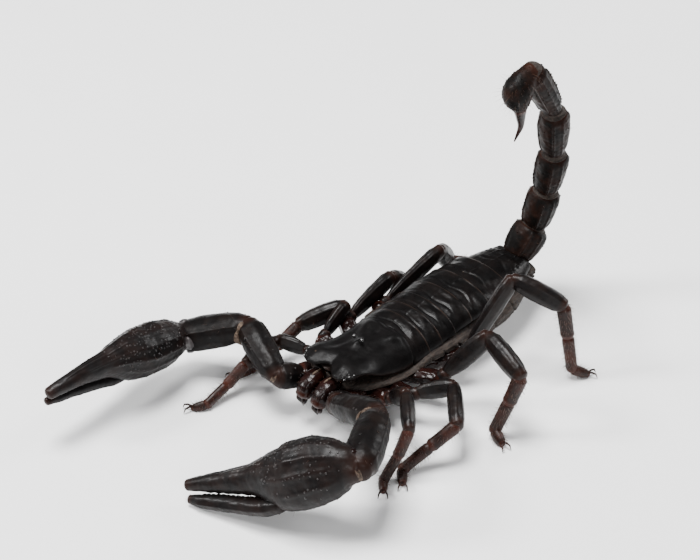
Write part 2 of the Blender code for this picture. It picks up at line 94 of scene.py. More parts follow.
PROFILE_STEPS = 400
CELL_PRIMES = np.array((73856093, 19349663, 83492791))
SEED_PRIME = 7919
AXIS_STEP = 911
SCRAMBLE = 1274126177
POSITIVE = 0x7FFFFFFF
LOW_BITS = 0xFFFF


class RingEnd(Enum):
    """How a tube closes: the number of rings in its end, and its reach in half widths."""

    DOME = (8, 0.62)
    POINT = (6, 1.4)


class Growth(Enum):
    """What grows on a shell."""

    GRANULE = "granule"
    BRISTLE = "bristle"


# ---- small maths


def profile(knots: Knots, at: Array, softness: float = 0.03) -> list[Array]:
    """Values along knots, with the corners rounded.

    Args:
        knots: rows of (place, value, value, ...), places rising.
        at: places to read.
        softness: share of the whole run over which a corner is rounded.

    Returns:
        One array of values for each column after the place.
    """
    table = np.array(knots, float)
    fine = np.linspace(table[0, 0], table[-1, 0], PROFILE_STEPS + 1)
    reach = max(1, int(softness * PROFILE_STEPS))
    kernel = np.hanning(2 * reach + 3)
    kernel /= kernel.sum()
    found = []
    for column in table.T[1:]:
        line = np.interp(fine, table[:, 0], column)
        before = 2 * line[0] - line[1 : reach + 2][::-1]
        after = 2 * line[-1] - line[-reach - 2 : -1][::-1]
        soft = np.convolve(np.concatenate([before, line, after]), kernel, "valid")
        found.append(np.interp(at, fine, soft))
    return found


def cell_number(cell: Array, seed: int) -> Array:
    """One whole number for each cell of space, the same at every run."""
    return cell @ CELL_PRIMES + seed * SEED_PRIME


def lumps(points: Array, size: float, seed: int = 0) -> Array:
    """Smooth irregular swellings.

    Args:
        points: places in millimetres, in an array whose last axis is 3 long.
        size: distance between swellings in millimetres.
        seed: which pattern.

    Returns:
        Heights from -1 to 1.
    """
    cell = points / size
    base = np.floor(cell).astype(np.int64)
    part = cell - base
    part = part * part * (3 - 2 * part)
    total = np.zeros(points.shape[:-1])
    for corner in np.ndindex(2, 2, 2):
        step = np.array(corner[::-1])
        mixed = cell_number(base + step, seed)
        mixed = ((mixed ^ (mixed >> 13)) * SCRAMBLE) & POSITIVE
        value = ((mixed ^ (mixed >> 15)) & LOW_BITS) / (LOW_BITS / 2) - 1
        total += value * np.prod(np.where(step == 1, part, 1 - part), axis=-1)
    return total


def grains(points: Array, size: float, seed: int = 0) -> Array:
    """Rounded grains scattered through space, as domes from 0 to 1 in height.

    Args:
        points: places in millimetres.
        size: distance between grains in millimetres.
        seed: which pattern.

    Returns:
        Height of the nearest grain at each place.
    """
    cell = points / size
    base = np.floor(cell).astype(np.int64)
    nearest = np.full(points.shape[:-1], np.inf)
    for step in np.ndindex(3, 3, 3):
        corner = base + np.array(step) - 1
        places = []
        for axis in range(3):
            mixed = ((cell_number(corner, seed) + axis * AXIS_STEP) * SCRAMBLE) & POSITIVE
            places.append(((mixed ^ (mixed >> 14)) & LOW_BITS) / LOW_BITS)
        centre = corner + 0.15 + 0.7 * np.stack(places, axis=-1)
        nearest = np.minimum(nearest, np.linalg.norm(cell - centre, axis=-1))
    return np.clip(1 - (nearest / 0.5) ** 2, 0, 1)


def bump(distance: Array, width: float) -> Array:
    """A round swelling of height 1 that dies away over a width."""
    return np.exp(-((distance / width) ** 2))


def ramp(value: Array, start: float, length: float) -> Array:
    """A straight rise from 0 at the start to 1 a length further on."""
    return np.clip((value - start) / length, 0, 1)


def tent(value: Array, centre: Array | float, half: float) -> Array:
    """A straight-sided peak of height 1 that reaches 0 half a width away."""
    return np.clip(1 - np.abs(value - centre) / half, 0, 1)


def heading(azimuth: float, elevation: float) -> Array:
    """Unit vector at an azimuth and an elevation in degrees."""
    a, e = math.radians(azimuth), math.radians(elevation)
    return np.array((math.cos(a) * math.cos(e), math.sin(a) * math.cos(e), math.sin(e)))


def tail_heading(elevation: float, lean: float) -> Array:
    """Unit vector in the tail's upright plane, leaning towards the left side by some degrees."""
    e, s = math.radians(elevation), math.radians(lean)
    return np.array((math.sin(s), math.cos(e) * math.cos(s), math.sin(e) * math.cos(s)))


def unit(vector: Array) -> Array:
    """The vector at length 1."""
    return vector / np.linalg.norm(vector)


def on_side(place: Place, side: str) -> Array:
    """A place given for the left side, on the side asked for."""
    return np.array((SIDES[side] * place[0], place[1], place[2]))


def joints_from(root: Array, steps: list[tuple[float, Array]]) -> list[Array]:
    """The joints of a limb.

    Args:
        root: where it starts.
        steps: each segment's length and unit vector, from the root.

    Returns:
        The root and the end of each segment.
    """
    points = [np.array(root, float)]
    for length, way in steps:
        points.append(points[-1] + way * length)
    return points


# ---- sizes of the body


@dataclass(frozen=True)
class BodyPlan:
    """Sizes that the shells of head, back, belly and tail share; each row starts with a place along the body."""

    front_y: float = -40.0
    carapace_length: float = 24.0
    tergite_lengths: tuple[float, ...] = (4.6, 4.6, 5.0, 6.4, 7.4, 9.0, 13.0)
    eye_from_front: float = 12.8
    tail_root: Place = (0.0, 33.7, 13.6)
    last_plate_y: float = 34.0
    half_width: Knots = (
        (-40, 7.4), (-36, 8.6), (-28, 10.3), (-16, 11.4), (-4, 12.0),
        (8, 12.2), (20, 11.1), (28, 9.2), (34, 6.6),
    )
    ridge: Knots = (
        (-40, 16.5), (-34, 17.2), (-26, 18.2), (-16, 17.8), (-4, 18.2),
        (8, 18.6), (20, 18.2), (28, 17.5), (34, 16.7),
    )
    edge: Knots = (
        (-40, 15.5), (-34, 14.2), (-28, 13.0), (-22, 12.0), (-15, 11.5), (10, 11.6), (24, 12.0), (34, 12.6),
    )
    belly: Knots = ((-38, 8.4), (-9, 8.2), (-4, 8.0), (0, 6.8), (5, 4.6), (16, 4.2), (26, 5.8), (34, 8.6))

    @property
    def rear_y(self) -> float:
        """Where the carapace ends."""
        return self.front_y + self.carapace_length

    @property
    def eye_y(self) -> float:
        """Where the median eyes stand."""
        return self.front_y + self.eye_from_front

    @staticmethod
    def along(knots: Knots, y: Array, softness: float = 0.05) -> Array:
        """The one value of some knots at places along the body."""
        return profile(knots, y, softness)[0]

    def width_at(self, y: Array) -> Array:
        """Half width of the back."""
        return self.along(self.half_width, y)

    def back_at(self, across: Array, y: Array, lift: Array | float = 0.0, power: float = 2.3) -> Array:
        """Height of the back.

        Args:
            across: share across it, -1 to 1.
            y: places along the body.
            lift: how far its edge is raised.
            power: how full its section is.

        Returns:
            The heights.
        """
        edge, ridge = self.along(self.edge, y) + lift, self.along(self.ridge, y)
        return edge + (ridge - edge) * np.clip(1 - np.abs(across) ** power, 0, 1) ** 0.62


PLAN = BodyPlan()


# ---- shells as grids of points


@dataclass(frozen=True)
class Keel:
    """A ridge along a tube: its angle, height and width in degrees, where it runs, and its beads' spacing."""

    angle: float
    height: float = 0.3
    width: float = 9.0
    start: float = 0.08
    end: float = 0.94
    bead: float = 0.0
    fade: float = 0.06

    def relief(self, shares: Array, angle: Array, length: float) -> Array:
        """Height of this keel.

        Args:
            shares: share of the tube's length at each ring.
            angle: angle of each point of a ring.
            length: the tube's length.

        Returns:
            Millimetres, as rings by points.
        """
        apart = (np.degrees(angle) - self.angle + 180) % 360 - 180
        window = ramp(shares, self.start, self.fade) * ramp(-shares, -self.end, self.fade)
        if self.bead:
            window = window * (0.45 + 0.55 * np.abs(np.cos(np.pi * shares * length / self.bead)))
        return self.height * window[:, None] * bump(apart, self.width)[None, :]


@dataclass
class Shell:
    """Grids of points that become one mesh, with what its finish and its bristles read at each point."""

    points: list[Array] = field(default_factory=list)
    faces: list[Array] = field(default_factory=list)
    shades: dict[str, list[Array]] = field(default_factory=lambda: {"relief": [], "tint": [], "cover": []})
    lie: list[Array] = field(default_factory=list)
    place: list[Array] = field(default_factory=list)
    count: int = 0
    patch_margin: float = 0.05

    def add_grid(
        self, grid: Array, relief: Array | float = 0.0, tint: Array | float = 0.0,
        cover: Array | float = 0.0, lie: Array = FORWARD,
    ) -> None:
        """Adds one tube of points, whose rows are its rings, and closes both ends with a pole.

        Args:
            grid: points as rows by columns by 3; the columns go round.
            relief: how far each point stands out, 0 to 1.
            tint: how warm its colour is, 0 to 1.
            cover: how thickly bristles or granules grow there, 0 to 1.
            lie: the way bristles lean.
        """
        rows, columns = grid.shape[:2]
        index = np.arange(rows * columns).reshape(rows, columns) + self.count
        turned = np.roll(index, -1, axis=1)
        quads = np.stack([index[:-1], turned[:-1], turned[1:], index[1:]], axis=-1)
        self.faces.append(quads.reshape(-1, 4))
        poles = self.count + rows * columns + np.array((0, 1))
        no_corner = np.full(columns, -1)
        for pole, row in zip(poles, (0, -1)):
            self.faces.append(np.stack([index[row], turned[row], np.full(columns, pole), no_corner], axis=-1))
        ends = np.stack([grid[0].mean(axis=0), grid[-1].mean(axis=0)])
        self.points.append(np.concatenate([grid.reshape(-1, 3), ends]))
        for title, value, at_pole in (("relief", relief, 0.0), ("tint", tint, 1.0), ("cover", cover, 0.0)):
            spread = np.broadcast_to(value, (rows, columns)).reshape(-1)
            self.shades[title].append(np.concatenate([spread, np.full(2, at_pole)]))
        ways = np.broadcast_to(lie, grid.shape).reshape(-1, 3)
        self.lie.append(np.concatenate([ways, ways[:1], ways[-1:]]))
        down, over = np.meshgrid(np.linspace(0, 1, rows), np.linspace(0, 1, columns), indexing="ij")
        share = np.stack([down, over], axis=-1).reshape(-1, 2)
        self.place.append(np.concatenate([share, ((0.0, 0.5), (1.0, 0.5))]))
        self.count = poles[1] + 1

    def patches(self) -> Array:
        """Gives every grid a square of its own on one unwrap.

        Returns:
            A place on the unwrap for each point, with 0 as its third number.
        """
        side = math.ceil(math.sqrt(len(self.place)))
        found = []
        for number, share in enumerate(self.place):
            corner = np.array((number % side, number // side))
            inner = corner + self.patch_margin + (1 - 2 * self.patch_margin) * share
            found.append(np.c_[inner / side, np.zeros(len(share))])
        return np.concatenate(found)

    def mesh(self, name: str, origin: Array, box: tuple[Array, Array]) -> bpy.types.Mesh:
        """Makes the mesh, in metres, kept inside the model's box.

        Args:
            name: the mesh's name.
            origin: where the body's own origin stands, in millimetres.
            box: lowest and highest corner that a point may take, in millimetres.

        Returns:
            A mesh whose faces look outwards.
        """
        points = np.clip(np.concatenate(self.points) + origin, *box) * MM
        faces = [[i for i in face if i >= 0] for face in np.concatenate(self.faces).tolist()]
        mesh = bpy.data.meshes.new(name)
        mesh.from_pydata(points, [], faces)
        for title, parts in self.shades.items():
            mesh.attributes.new(title, "FLOAT", "POINT").data.foreach_set("value", np.concatenate(parts))
        for title, vectors in (("lie", np.concatenate(self.lie)), ("root_uv", self.patches())):
            made = mesh.attributes.new(title, "FLOAT_VECTOR", "POINT")
            made.data.foreach_set("vector", vectors.reshape(-1))
        working = bmesh.new()
        working.from_mesh(mesh)
        bmesh.ops.remove_doubles(working, verts=working.verts, dist=1e-7)
        bmesh.ops.recalc_face_normals(working, faces=working.faces)
        working.to_mesh(mesh)
        working.free()
        mesh.shade_smooth()
        return mesh


@dataclass(frozen=True)
class Tube:
    """A closed shell round a centre line, with keels, grain, irregular waves and rounded ends.

    Each row of widths is a share of the length, then the shares of the half width and half height there. A
    power of 2 gives a round section, and a higher one a squarer section.
    """

    widths: Knots = EVEN
    half_width: float = 1.0
    half_height: float = 1.0
    keels: tuple[Keel, ...] = ()
    power: float = 2.2
    grain: float = 0.0
    grain_size: float = 0.7
    wave: float = 0.06
    step: float = 0.3
    sides: int = 56
    end: RingEnd = RingEnd.DOME
    cover: float = 0.0
    ridge_cover: float = 0.0
    seed: int = 1
    warm_ends: float = 0.1
    full_relief: float = 0.4

    def grow(self, shell: Shell, path: Array | tuple[Array, ...], up_hint: Array) -> None:
        """Grows the tube along a path and adds it to a shell.

        Args:
            shell: where the points go.
            path: two or more points of the centre line.
            up_hint: the way the tube's upper side looks.
        """
        path = np.array(path)
        lengths = np.r_[0.0, np.cumsum(np.linalg.norm(np.diff(path, axis=0), axis=1))]
        length = lengths[-1]
        shares = np.linspace(0, 1, max(8, int(length / self.step)))
        wide, high = profile(self.widths, shares, 0.04)
        wide, high = wide * self.half_width, high * self.half_height
        centre = np.stack([np.interp(shares * length, lengths, path[:, axis]) for axis in range(3)], axis=-1)
        self.add_rings(shell, shares, centre, wide, high, up_hint, length)

    def add_rings(
        self, shell: Shell, shares: Array, centre: Array, wide: Array, high: Array, up_hint: Array, length: float
    ) -> None:
        """Lays rings round given centres, closes both ends, and adds relief.

        Args:
            shell: where the points go.
            shares: share of the length at each ring.
            centre: middle of each ring.
            wide: half width of each ring.
            high: half height of each ring.
            up_hint: the way the tube's upper side looks.
            length: length of the centre line.
        """
        way = np.gradient(centre, axis=0)
        way /= np.linalg.norm(way, axis=1, keepdims=True)
        first = self.close(RingEnd.DOME, centre[0], -way[0], wide[0], high[0])
        last = self.close(self.end, centre[-1], way[-1], wide[-1], high[-1])
        first = [row[::-1] for row in first]
        centre = np.concatenate([first[0], centre, last[0]])
        wide, high = np.r_[first[1], wide, last[1]], np.r_[first[2], high, last[2]]
        inside = np.r_[first[3], np.ones(len(shares)), last[3]][:, None]
        shares = np.r_[np.zeros(len(first[1])), shares, np.ones(len(last[1]))]
        starts, stops = np.repeat(way[:1], len(first[1]), 0), np.repeat(way[-1:], len(last[1]), 0)
        way = np.concatenate([starts, way, stops])
        across = np.cross(way, up_hint)
        across /= np.linalg.norm(across, axis=1, keepdims=True)
        above = np.cross(across, way)
        angle = 2 * np.pi * np.arange(self.sides) / self.sides
        turn, rise = np.cos(angle), np.sin(angle)
        turn_p, rise_p = (np.sign(part) * np.abs(part) ** (2 / self.power) for part in (turn, rise))
        grid = (
            centre[:, None]
            + across[:, None] * (turn_p[None, :] * wide[:, None])[..., None]
            + above[:, None] * (rise_p[None, :] * high[:, None])[..., None]
        )
        slope_x = turn[None, :] * np.maximum(high, 0.05)[:, None]
        slope_y = rise[None, :] * np.maximum(wide, 0.05)[:, None]
        size = np.hypot(slope_x, slope_y)
        out = across[:, None] * (slope_x / size)[..., None] + above[:, None] * (slope_y / size)[..., None]
        relief = np.zeros((len(shares), self.sides))
        for keel in self.keels:
            relief += keel.relief(shares, angle, length)
        relief *= inside
        if self.grain:
            relief += self.grain * grains(grid, self.grain_size, self.seed) * inside
        swell = self.wave * (lumps(grid, 2.4, self.seed) + 0.5 * lumps(grid, 0.9, self.seed + 3)) * inside
        grid = grid + out * (relief + swell)[..., None]
        tint = np.zeros(len(shares))
        if self.warm_ends:
            tint = np.clip(1 - np.minimum(shares, 1 - shares) / self.warm_ends, 0, 1)
        shade = np.clip(relief / self.full_relief, 0, 1)
        growth = self.cover * (np.ones(self.sides) + self.ridge_cover * ramp(shade, 0.3, 0.25))
        shell.add_grid(grid, shade, tint[:, None], np.clip(growth, 0, 1) * inside, way[:, None])

    @staticmethod
    def close(end: RingEnd, centre: Array, way: Array, wide: float, high: float) -> list[Array]:
        """Rings that close one end, from the tube outwards.

        Args:
            end: the kind of closing.
            centre: middle of the last ring.
            way: unit vector that leaves the tube.
            wide: half width of the last ring.
            high: half height of the last ring.

        Returns:
            Centres, half widths, half heights, and how much relief each ring keeps.
        """
        rings, reach = end.value
        turn = np.linspace(0, np.pi / 2, rings + 1)[1:]
        out, keep = reach * min(wide, high) * np.sin(turn), np.maximum(np.cos(turn), 0.02)
        return [centre + way * out[:, None], wide * keep, high * keep, np.linspace(0.6, 0, rings)]


def wrapped(upper: Array, lower: Array) -> Array:
    """Rows that run over a plate's upper side and back along its lower side."""
    return np.concatenate([upper, lower[:, ::-1][:, 1:-1]], axis=1)


def grow_plate(
    shell: Shell, top: Array, thickness: float, relief: Array, tint: Array, rim: float = 0.35, cover: float = 0.0
) -> None:
    """Adds a plate with rounded rims, from a grid of points on its upper side.

    Args:
        shell: where the points go.
        top: rows by columns by 3 points of the upper side.
        thickness: of the plate.
        relief: how far each point stands out, 0 to 1.
        tint: how warm its colour is, 0 to 1.
        rim: how far in from the edge the rounding starts.
        cover: how thickly bristles grow on the upper side, 0 to 1.
    """
    down, over = np.gradient(top, axis=0), np.gradient(top, axis=1)
    normal = np.cross(over, down)
    normal /= np.maximum(np.linalg.norm(normal, axis=-1, keepdims=True), 1e-9)
    if normal[..., 2].mean() < 0:
        normal = -normal
    along = np.cumsum(np.linalg.norm(down, axis=-1), axis=0)
    across = np.cumsum(np.linalg.norm(over, axis=-1), axis=1)
    to_ends = np.minimum(along - along[:1], along[-1:] - along)
    to_sides = np.minimum(across - across[:, :1], across[:, -1:] - across)
    inward = np.clip(np.minimum(to_ends, to_sides) / rim, 0, 1)
    round_off = np.sqrt(np.clip(1 - (1 - inward) ** 2, 0, 1))[..., None]
    upper = top - normal * 0.5 * thickness * (1 - round_off)
    lower = top - normal * 0.5 * thickness * (1 + round_off)
    covers = wrapped(np.full(top.shape[:2], cover), np.zeros(top.shape[:2]))
    shell.add_grid(wrapped(upper, lower), wrapped(relief, relief), wrapped(tint, tint), covers)


# ---- finishes


def linear(hex_colour: str) -> tuple[float, float, float, float]:
    """Linear colour of an sRGB hex value such as 5b2f24."""
    parts = [int(hex_colour[i : i + 2], 16) / 255 for i in (0, 2, 4)]
    return (*(p / 12.92 if p <= 0.04045 else ((p + 0.055) / 1.055) ** 2.4 for p in parts), 1.0)


def spaced(millimetres: float) -> float:
    """Scale of a texture whose marks stand so many millimetres apart."""
    return 1000 / millimetres


def fill(node: bpy.types.Node, inputs: Inputs) -> None:
    """Sets or links inputs of a node.

    Args:
        node: the node.
        inputs: value, output or node for each input, by its name or its number among those in use. A node
            stands for its first output in use.
    """
    in_use = [socket for socket in node.inputs if socket.enabled]
    for key, value in inputs.items():
        socket = in_use[key] if isinstance(key, int) else next(one for one in in_use if one.name == key)
        if isinstance(value, bpy.types.Node):
            value = next(output for output in value.outputs if output.enabled)
        if isinstance(value, bpy.types.NodeSocket):
            node.id_data.links.new(value, socket)
        else:
            socket.default_value = value


def add_node(
    tree: bpy.types.NodeTree, kind: str, inputs: Inputs | None = None, **settings: object
) -> bpy.types.Node:
    """Adds a node, sets its options, and fills or links its inputs.

    Args:
        tree: where the node goes.
        kind: Blender's name for the node.
        inputs: what its inputs take, as fill reads them.
        settings: the node's own options.

    Returns:
        The node.
    """
    node = tree.nodes.new(kind)
    for option, value in settings.items():
        setattr(node, option, value)
    fill(node, inputs or {})
    return node


@dataclass(frozen=True)
class Finish:
    """What every finish has: a name and two tones, between which its colour drifts."""

    name: str
    base: str
    second: str

    def build(self) -> bpy.types.Material:
        """Makes the material.

        Returns:
            A material with one Principled shader that the finish has dressed.
        """
        material = bpy.data.materials.new(self.name)
        material.use_nodes = True
        add = partial(add_node, material.node_tree)
        place = add("ShaderNodeTexCoord").outputs["Object"]
        fill(material.node_tree.nodes["Principled BSDF"], self.dress(add, place))
        return material

    def tone(self, add: Adder, share: bpy.types.Node, *layers: tuple[object, str]) -> object:
        """The finish's colour.

        Args:
            add: adds a node to the material.
            share: how much of the second tone shows.
            layers: further tones, each with the node or output that says how much of it shows.

        Returns:
            The last mixing node.
        """
        colour = linear(self.base)
        for part, tone in ((share, self.second), *layers):
            colour = add("ShaderNodeMix", {"Factor": part, "A": colour, "B": linear(tone)}, data_type="RGBA")
        return colour

    def dress(self, add: Adder, place: bpy.types.NodeSocket) -> Inputs:
        """What the shader's inputs take."""
        raise NotImplementedError


@dataclass(frozen=True)
class ChitinFinish(Finish):
    """Tanned chitin, hardened in layers like horn, with fine pits, slow dents and a thin coat of wax."""

    warm: str = "26140e"
    worn: str = "3a322d"
    roughness: float = 0.32
    rough_spread: float = 0.16
    dents: float = 1.0
    coat: float = 0.25
    specular: float = 0.16
    pit_depth: float = 0.05
    dust_share: float = 0.35
    dust: str = "6a5a4c"
    warm_share: float = 0.55
    mottle_mm: float = 4.5
    dust_mm: float = 2.6
    dust_patch_mm: float = 9.0
    dent_mm: float = 1.6
    dent_depth: float = 0.25
    gloss_mm: float = 2.2
    # Real pits are near 0.05 mm apart. They are drawn seven times as coarse, so that they show.
    pit_mm: float = 0.35

    def dress(self, add: Adder, place: bpy.types.NodeSocket) -> Inputs:
        """Mottles the colour, pales worn ridges, warms the joints, paints a highlight on back plate rims, adds
        specks of dust and dents the surface.

        Args:
            add: adds a node to the material.
            place: object coordinates.

        Returns:
            What the shader's inputs take.
        """
        mottle = add("ShaderNodeTexNoise", {
            "Vector": place, "Scale": spaced(self.mottle_mm), "Detail": 5.0, "Roughness": 0.6,
        })
        spread = add("ShaderNodeMapRange", {"Value": mottle, "From Min": 0.42, "From Max": 0.66})
        tint = add("ShaderNodeAttribute", attribute_name="tint").outputs["Fac"]
        # On the back plates this warm tone is a painted highlight along the rear margins.
        warm = add("ShaderNodeMath", {0: tint, 1: self.warm_share}, operation="MULTIPLY")
        relief = add("ShaderNodeAttribute", attribute_name="relief").outputs["Fac"]
        ridge = add("ShaderNodeMapRange", {"Value": relief, "From Min": 0.35, "To Max": 0.45})
        specks = add("ShaderNodeTexVoronoi", {"Vector": place, "Scale": spaced(self.dust_mm)})
        patch = add("ShaderNodeTexNoise", {"Vector": place, "Scale": spaced(self.dust_patch_mm)})
        limit = add("ShaderNodeMapRange", {
            "Value": patch, "From Min": 0.5, "From Max": 0.75, "To Min": 0.0, "To Max": 0.1,
        })
        on_speck = add("ShaderNodeMath", {0: specks, 1: limit}, operation="LESS_THAN")
        dusty = add("ShaderNodeMath", {0: on_speck, 1: self.dust_share}, operation="MULTIPLY")
        pits = add("ShaderNodeTexNoise", {
            "Vector": place, "Scale": spaced(self.pit_mm), "Detail": 4.0, "Roughness": 0.7,
        })
        patchy = add("ShaderNodeTexNoise", {"Vector": place, "Scale": spaced(self.gloss_mm), "Detail": 3.0})
        blend = add("ShaderNodeMath", {0: patchy, 1: pits}, operation="MULTIPLY")
        rough = add("ShaderNodeMapRange", {
            "Value": blend, "From Min": 0.12, "From Max": 0.38,
            "To Min": self.roughness - self.rough_spread / 2, "To Max": self.roughness + self.rough_spread,
        })
        pitted = add("ShaderNodeBump", {"Height": pits, "Strength": 0.55, "Distance": self.pit_depth * MM})
        dent = add("ShaderNodeTexNoise", {
            "Vector": place, "Scale": spaced(self.dent_mm), "Detail": 3.0, "Distortion": 0.8,
        })
        dented = add("ShaderNodeBump", {
            "Height": dent, "Strength": 0.5 * self.dents, "Distance": self.dent_depth * MM, "Normal": pitted,
        })
        return {
            "Base Color": self.tone(add, spread, (warm, self.warm), (ridge, self.worn), (dusty, self.dust)),
            "Roughness": rough, "Normal": dented, "IOR": 1.56, "Specular IOR Level": self.specular,
            "Coat Weight": self.coat, "Coat Roughness": 0.16,
        }


@dataclass(frozen=True)
class SkinFinish(Finish):
    """Arthrodial membrane, the thin untanned skin between plates, folded fine where the body bends."""

    # Real folds are near 0.1 mm apart. They are drawn seven times as coarse, so that they show.
    crease_mm: float = 0.7
    stretch: Place = (1.0, 0.16, 1.6)
    crease_depth: float = 0.22
    roughness: float = 0.62
    rough_spread: float = 0.12

    def dress(self, add: Adder, place: bpy.types.NodeSocket) -> Inputs:
        """Two tones, bump and gloss, all from the same creases.

        Args:
            add: adds a node to the material.
            place: object coordinates.

        Returns:
            What the shader's inputs take.
        """
        pulled = add("ShaderNodeMapping", {"Vector": place, "Scale": self.stretch})
        crease = add("ShaderNodeTexNoise", {
            "Vector": pulled, "Scale": spaced(self.crease_mm), "Detail": 5.0, "Roughness": 0.6,
            "Distortion": 0.6,
        })
        spread = add("ShaderNodeMapRange", {"Value": crease, "From Min": 0.38, "From Max": 0.62})
        dull, glossy = self.roughness + self.rough_spread, self.roughness - self.rough_spread
        rough = add("ShaderNodeMapRange", {"Value": crease, "To Min": dull, "To Max": glossy})
        depth = self.crease_depth * MM
        folded = add("ShaderNodeBump", {"Height": crease, "Strength": 0.9, "Distance": depth})
        return {
            "Base Color": self.tone(add, spread), "Roughness": rough, "Normal": folded, "IOR": 1.45,
            "Specular IOR Level": 0.2,
            "Subsurface Weight": 0.12, "Subsurface Radius": (1.2 * MM, 0.6 * MM, 0.4 * MM),
        }


@dataclass(frozen=True)
class SmoothFinish(Finish):
    """A smooth surface whose colour drifts slowly between its two tones."""

    drift_mm: float = 1.0
    gloss: Inputs = field(default_factory=dict)

    def dress(self, add: Adder, place: bpy.types.NodeSocket) -> Inputs:
        """Two tones in slow patches, and the gloss asked for."""
        drift = add("ShaderNodeTexNoise", {"Vector": place, "Scale": spaced(self.drift_mm)})
        return {"Base Color": self.tone(add, drift), **self.gloss}


FINISHES: dict[str, Finish] = {
    # The head's shield is thick and waxed but worn dull: satin black, with broad soft highlights.
    "head": ChitinFinish(
        "satin_black_head_chitin", "070606", "0c0a0a", "241a16", "14100e",
        roughness=0.4, rough_spread=0.14, dents=0.35, coat=0.02, specular=0.07,
    ),
    # Back plates polish one another as they slide: blacker and glossier; the pale tone along their rear margins
    # is a painted highlight.
    "back": ChitinFinish(
        "black_back_chitin_painted_rim_highlight", "070606", "0e0a09", "4a3a31", "18110e",
        roughness=0.32, rough_spread=0.14, dents=0.4, coat=0.03, specular=0.08,
    ),
    # Leg plates are thinner, so some light comes back out of them: brown-black, redder towards the joints.
    "limb": ChitinFinish(
        "brown_black_limb_chitin", "0c0909", "170f0c", "2a1711", "211612",
        roughness=0.34, rough_spread=0.16, dents=0.5, coat=0.05, specular=0.11,
    ),
    # The claw's cuticle is the thickest, rough between its granules: near black with a broken sheen.
    "claw": ChitinFinish(
        "granular_claw_chitin", "0d0b0b", "170f0d", "26140e", "1d1412",
        roughness=0.36, rough_spread=0.16, dents=0.25, coat=0.03, specular=0.1,
    ),
    # Tail plates tan unevenly: dark with red-brown patches, and little gloss.
    "tail": ChitinFinish(
        "mottled_tail_chitin", "0c0a09", "1f110c", "33190f", "231612",
        roughness=0.42, rough_spread=0.16, dents=0.6, coat=0.01, specular=0.05,
    ),
    # Chelicerae and coxae rub on one another: the smoothest shell, with a red glow in its highlights.
    "red": ChitinFinish(
        "glossy_red_brown_chitin", "0e0504", "1e0b08", "33170f", "241410",
        roughness=0.22, rough_spread=0.1, coat=0.05, specular=0.14, pit_depth=0.02, dust_share=0.1,
    ),
    # Foot shells are thin and lightly tanned: clearly red-brown, and dull from walking.
    "foot": ChitinFinish(
        "red_brown_foot_chitin", "1b0d09", "33170f", "401d13", "331c16",
        roughness=0.42, rough_spread=0.16, coat=0.03, pit_depth=0.03, dust_share=0.1,
    ),
    # The sting is drawn to a hard clean spike: dark red, with a sharp narrow highlight.
    "sting": ChitinFinish(
        "dark_sting_chitin", "0c0706", "260f09", "3a170e", "2b1712",
        roughness=0.26, rough_spread=0.08, coat=0.2, pit_depth=0.01, dust_share=0.0,
    ),
    # The arms' short segments are worn dull: flat black that lets the beads on their ridges stand out.
    "arm": ChitinFinish(
        "dull_black_arm_chitin", "0a0808", "130d0b", "26140e", "1a1210",
        roughness=0.38, rough_spread=0.16, dents=0.3, coat=0.02, specular=0.07,
    ),
    # Granules are polished by touch: each takes one small bright spot.
    "bead": ChitinFinish(
        "glossy_granule_chitin", "0c0a0a", "1a100d", "26140e", "241a17",
        roughness=0.28, rough_spread=0.08, coat=0.28, specular=0.3, pit_depth=0.01, dust_share=0.0,
    ),
    # The hinge knobs of the wrist are polished by the joint; their grey colour, bright beside the black shell,
    # is a painted highlight.
    "condyle": ChitinFinish(
        "grey_condyle_chitin_painted_highlight", "2a2728", "403c3c", "2c2320", "464140",
        roughness=0.3, rough_spread=0.1, coat=0.3, specular=0.3, pit_depth=0.02, dust_share=0.0,
    ),
    # Flank skin stretches when the animal has fed: grey-brown and matt, creased along the body.
    "skin": SkinFinish("grey_brown_flank_skin", "1d1714", "362e29"),
    # Joint skin is thinner, so it looks paler: tan, with creases that run every way.
    "joint": SkinFinish("tan_joint_skin", "2b211b", "5b4c40", 0.5, (1.0, 1.0, 1.0)),
    # An eye's lens is clear cuticle over a black cup: it takes one small sharp highlight.
    "lens": SmoothFinish(
        "eye_lens", "08080a", "16100d", 1.2,
        {"Roughness": 0.06, "IOR": 1.52, "Coat Weight": 1.0, "Coat Roughness": 0.03},
    ),
    # A seta is a hollow hair of clear red-brown chitin: lit, it looks paler than the shell behind it.
    "bristle": SmoothFinish("seta", "2a1811", "5f4230", 3.0, {"Roughness": 0.35, "IOR": 1.55}),
    # Matt paper, rolled smooth: an even pale floor that shows only the animal's soft shadow.
    "paper": SmoothFinish("pale_paper_floor", "f6f6f6", "fbfbfb", 1000 / 30, {"Roughness": 0.9}),
}


# ---- geometry node trees


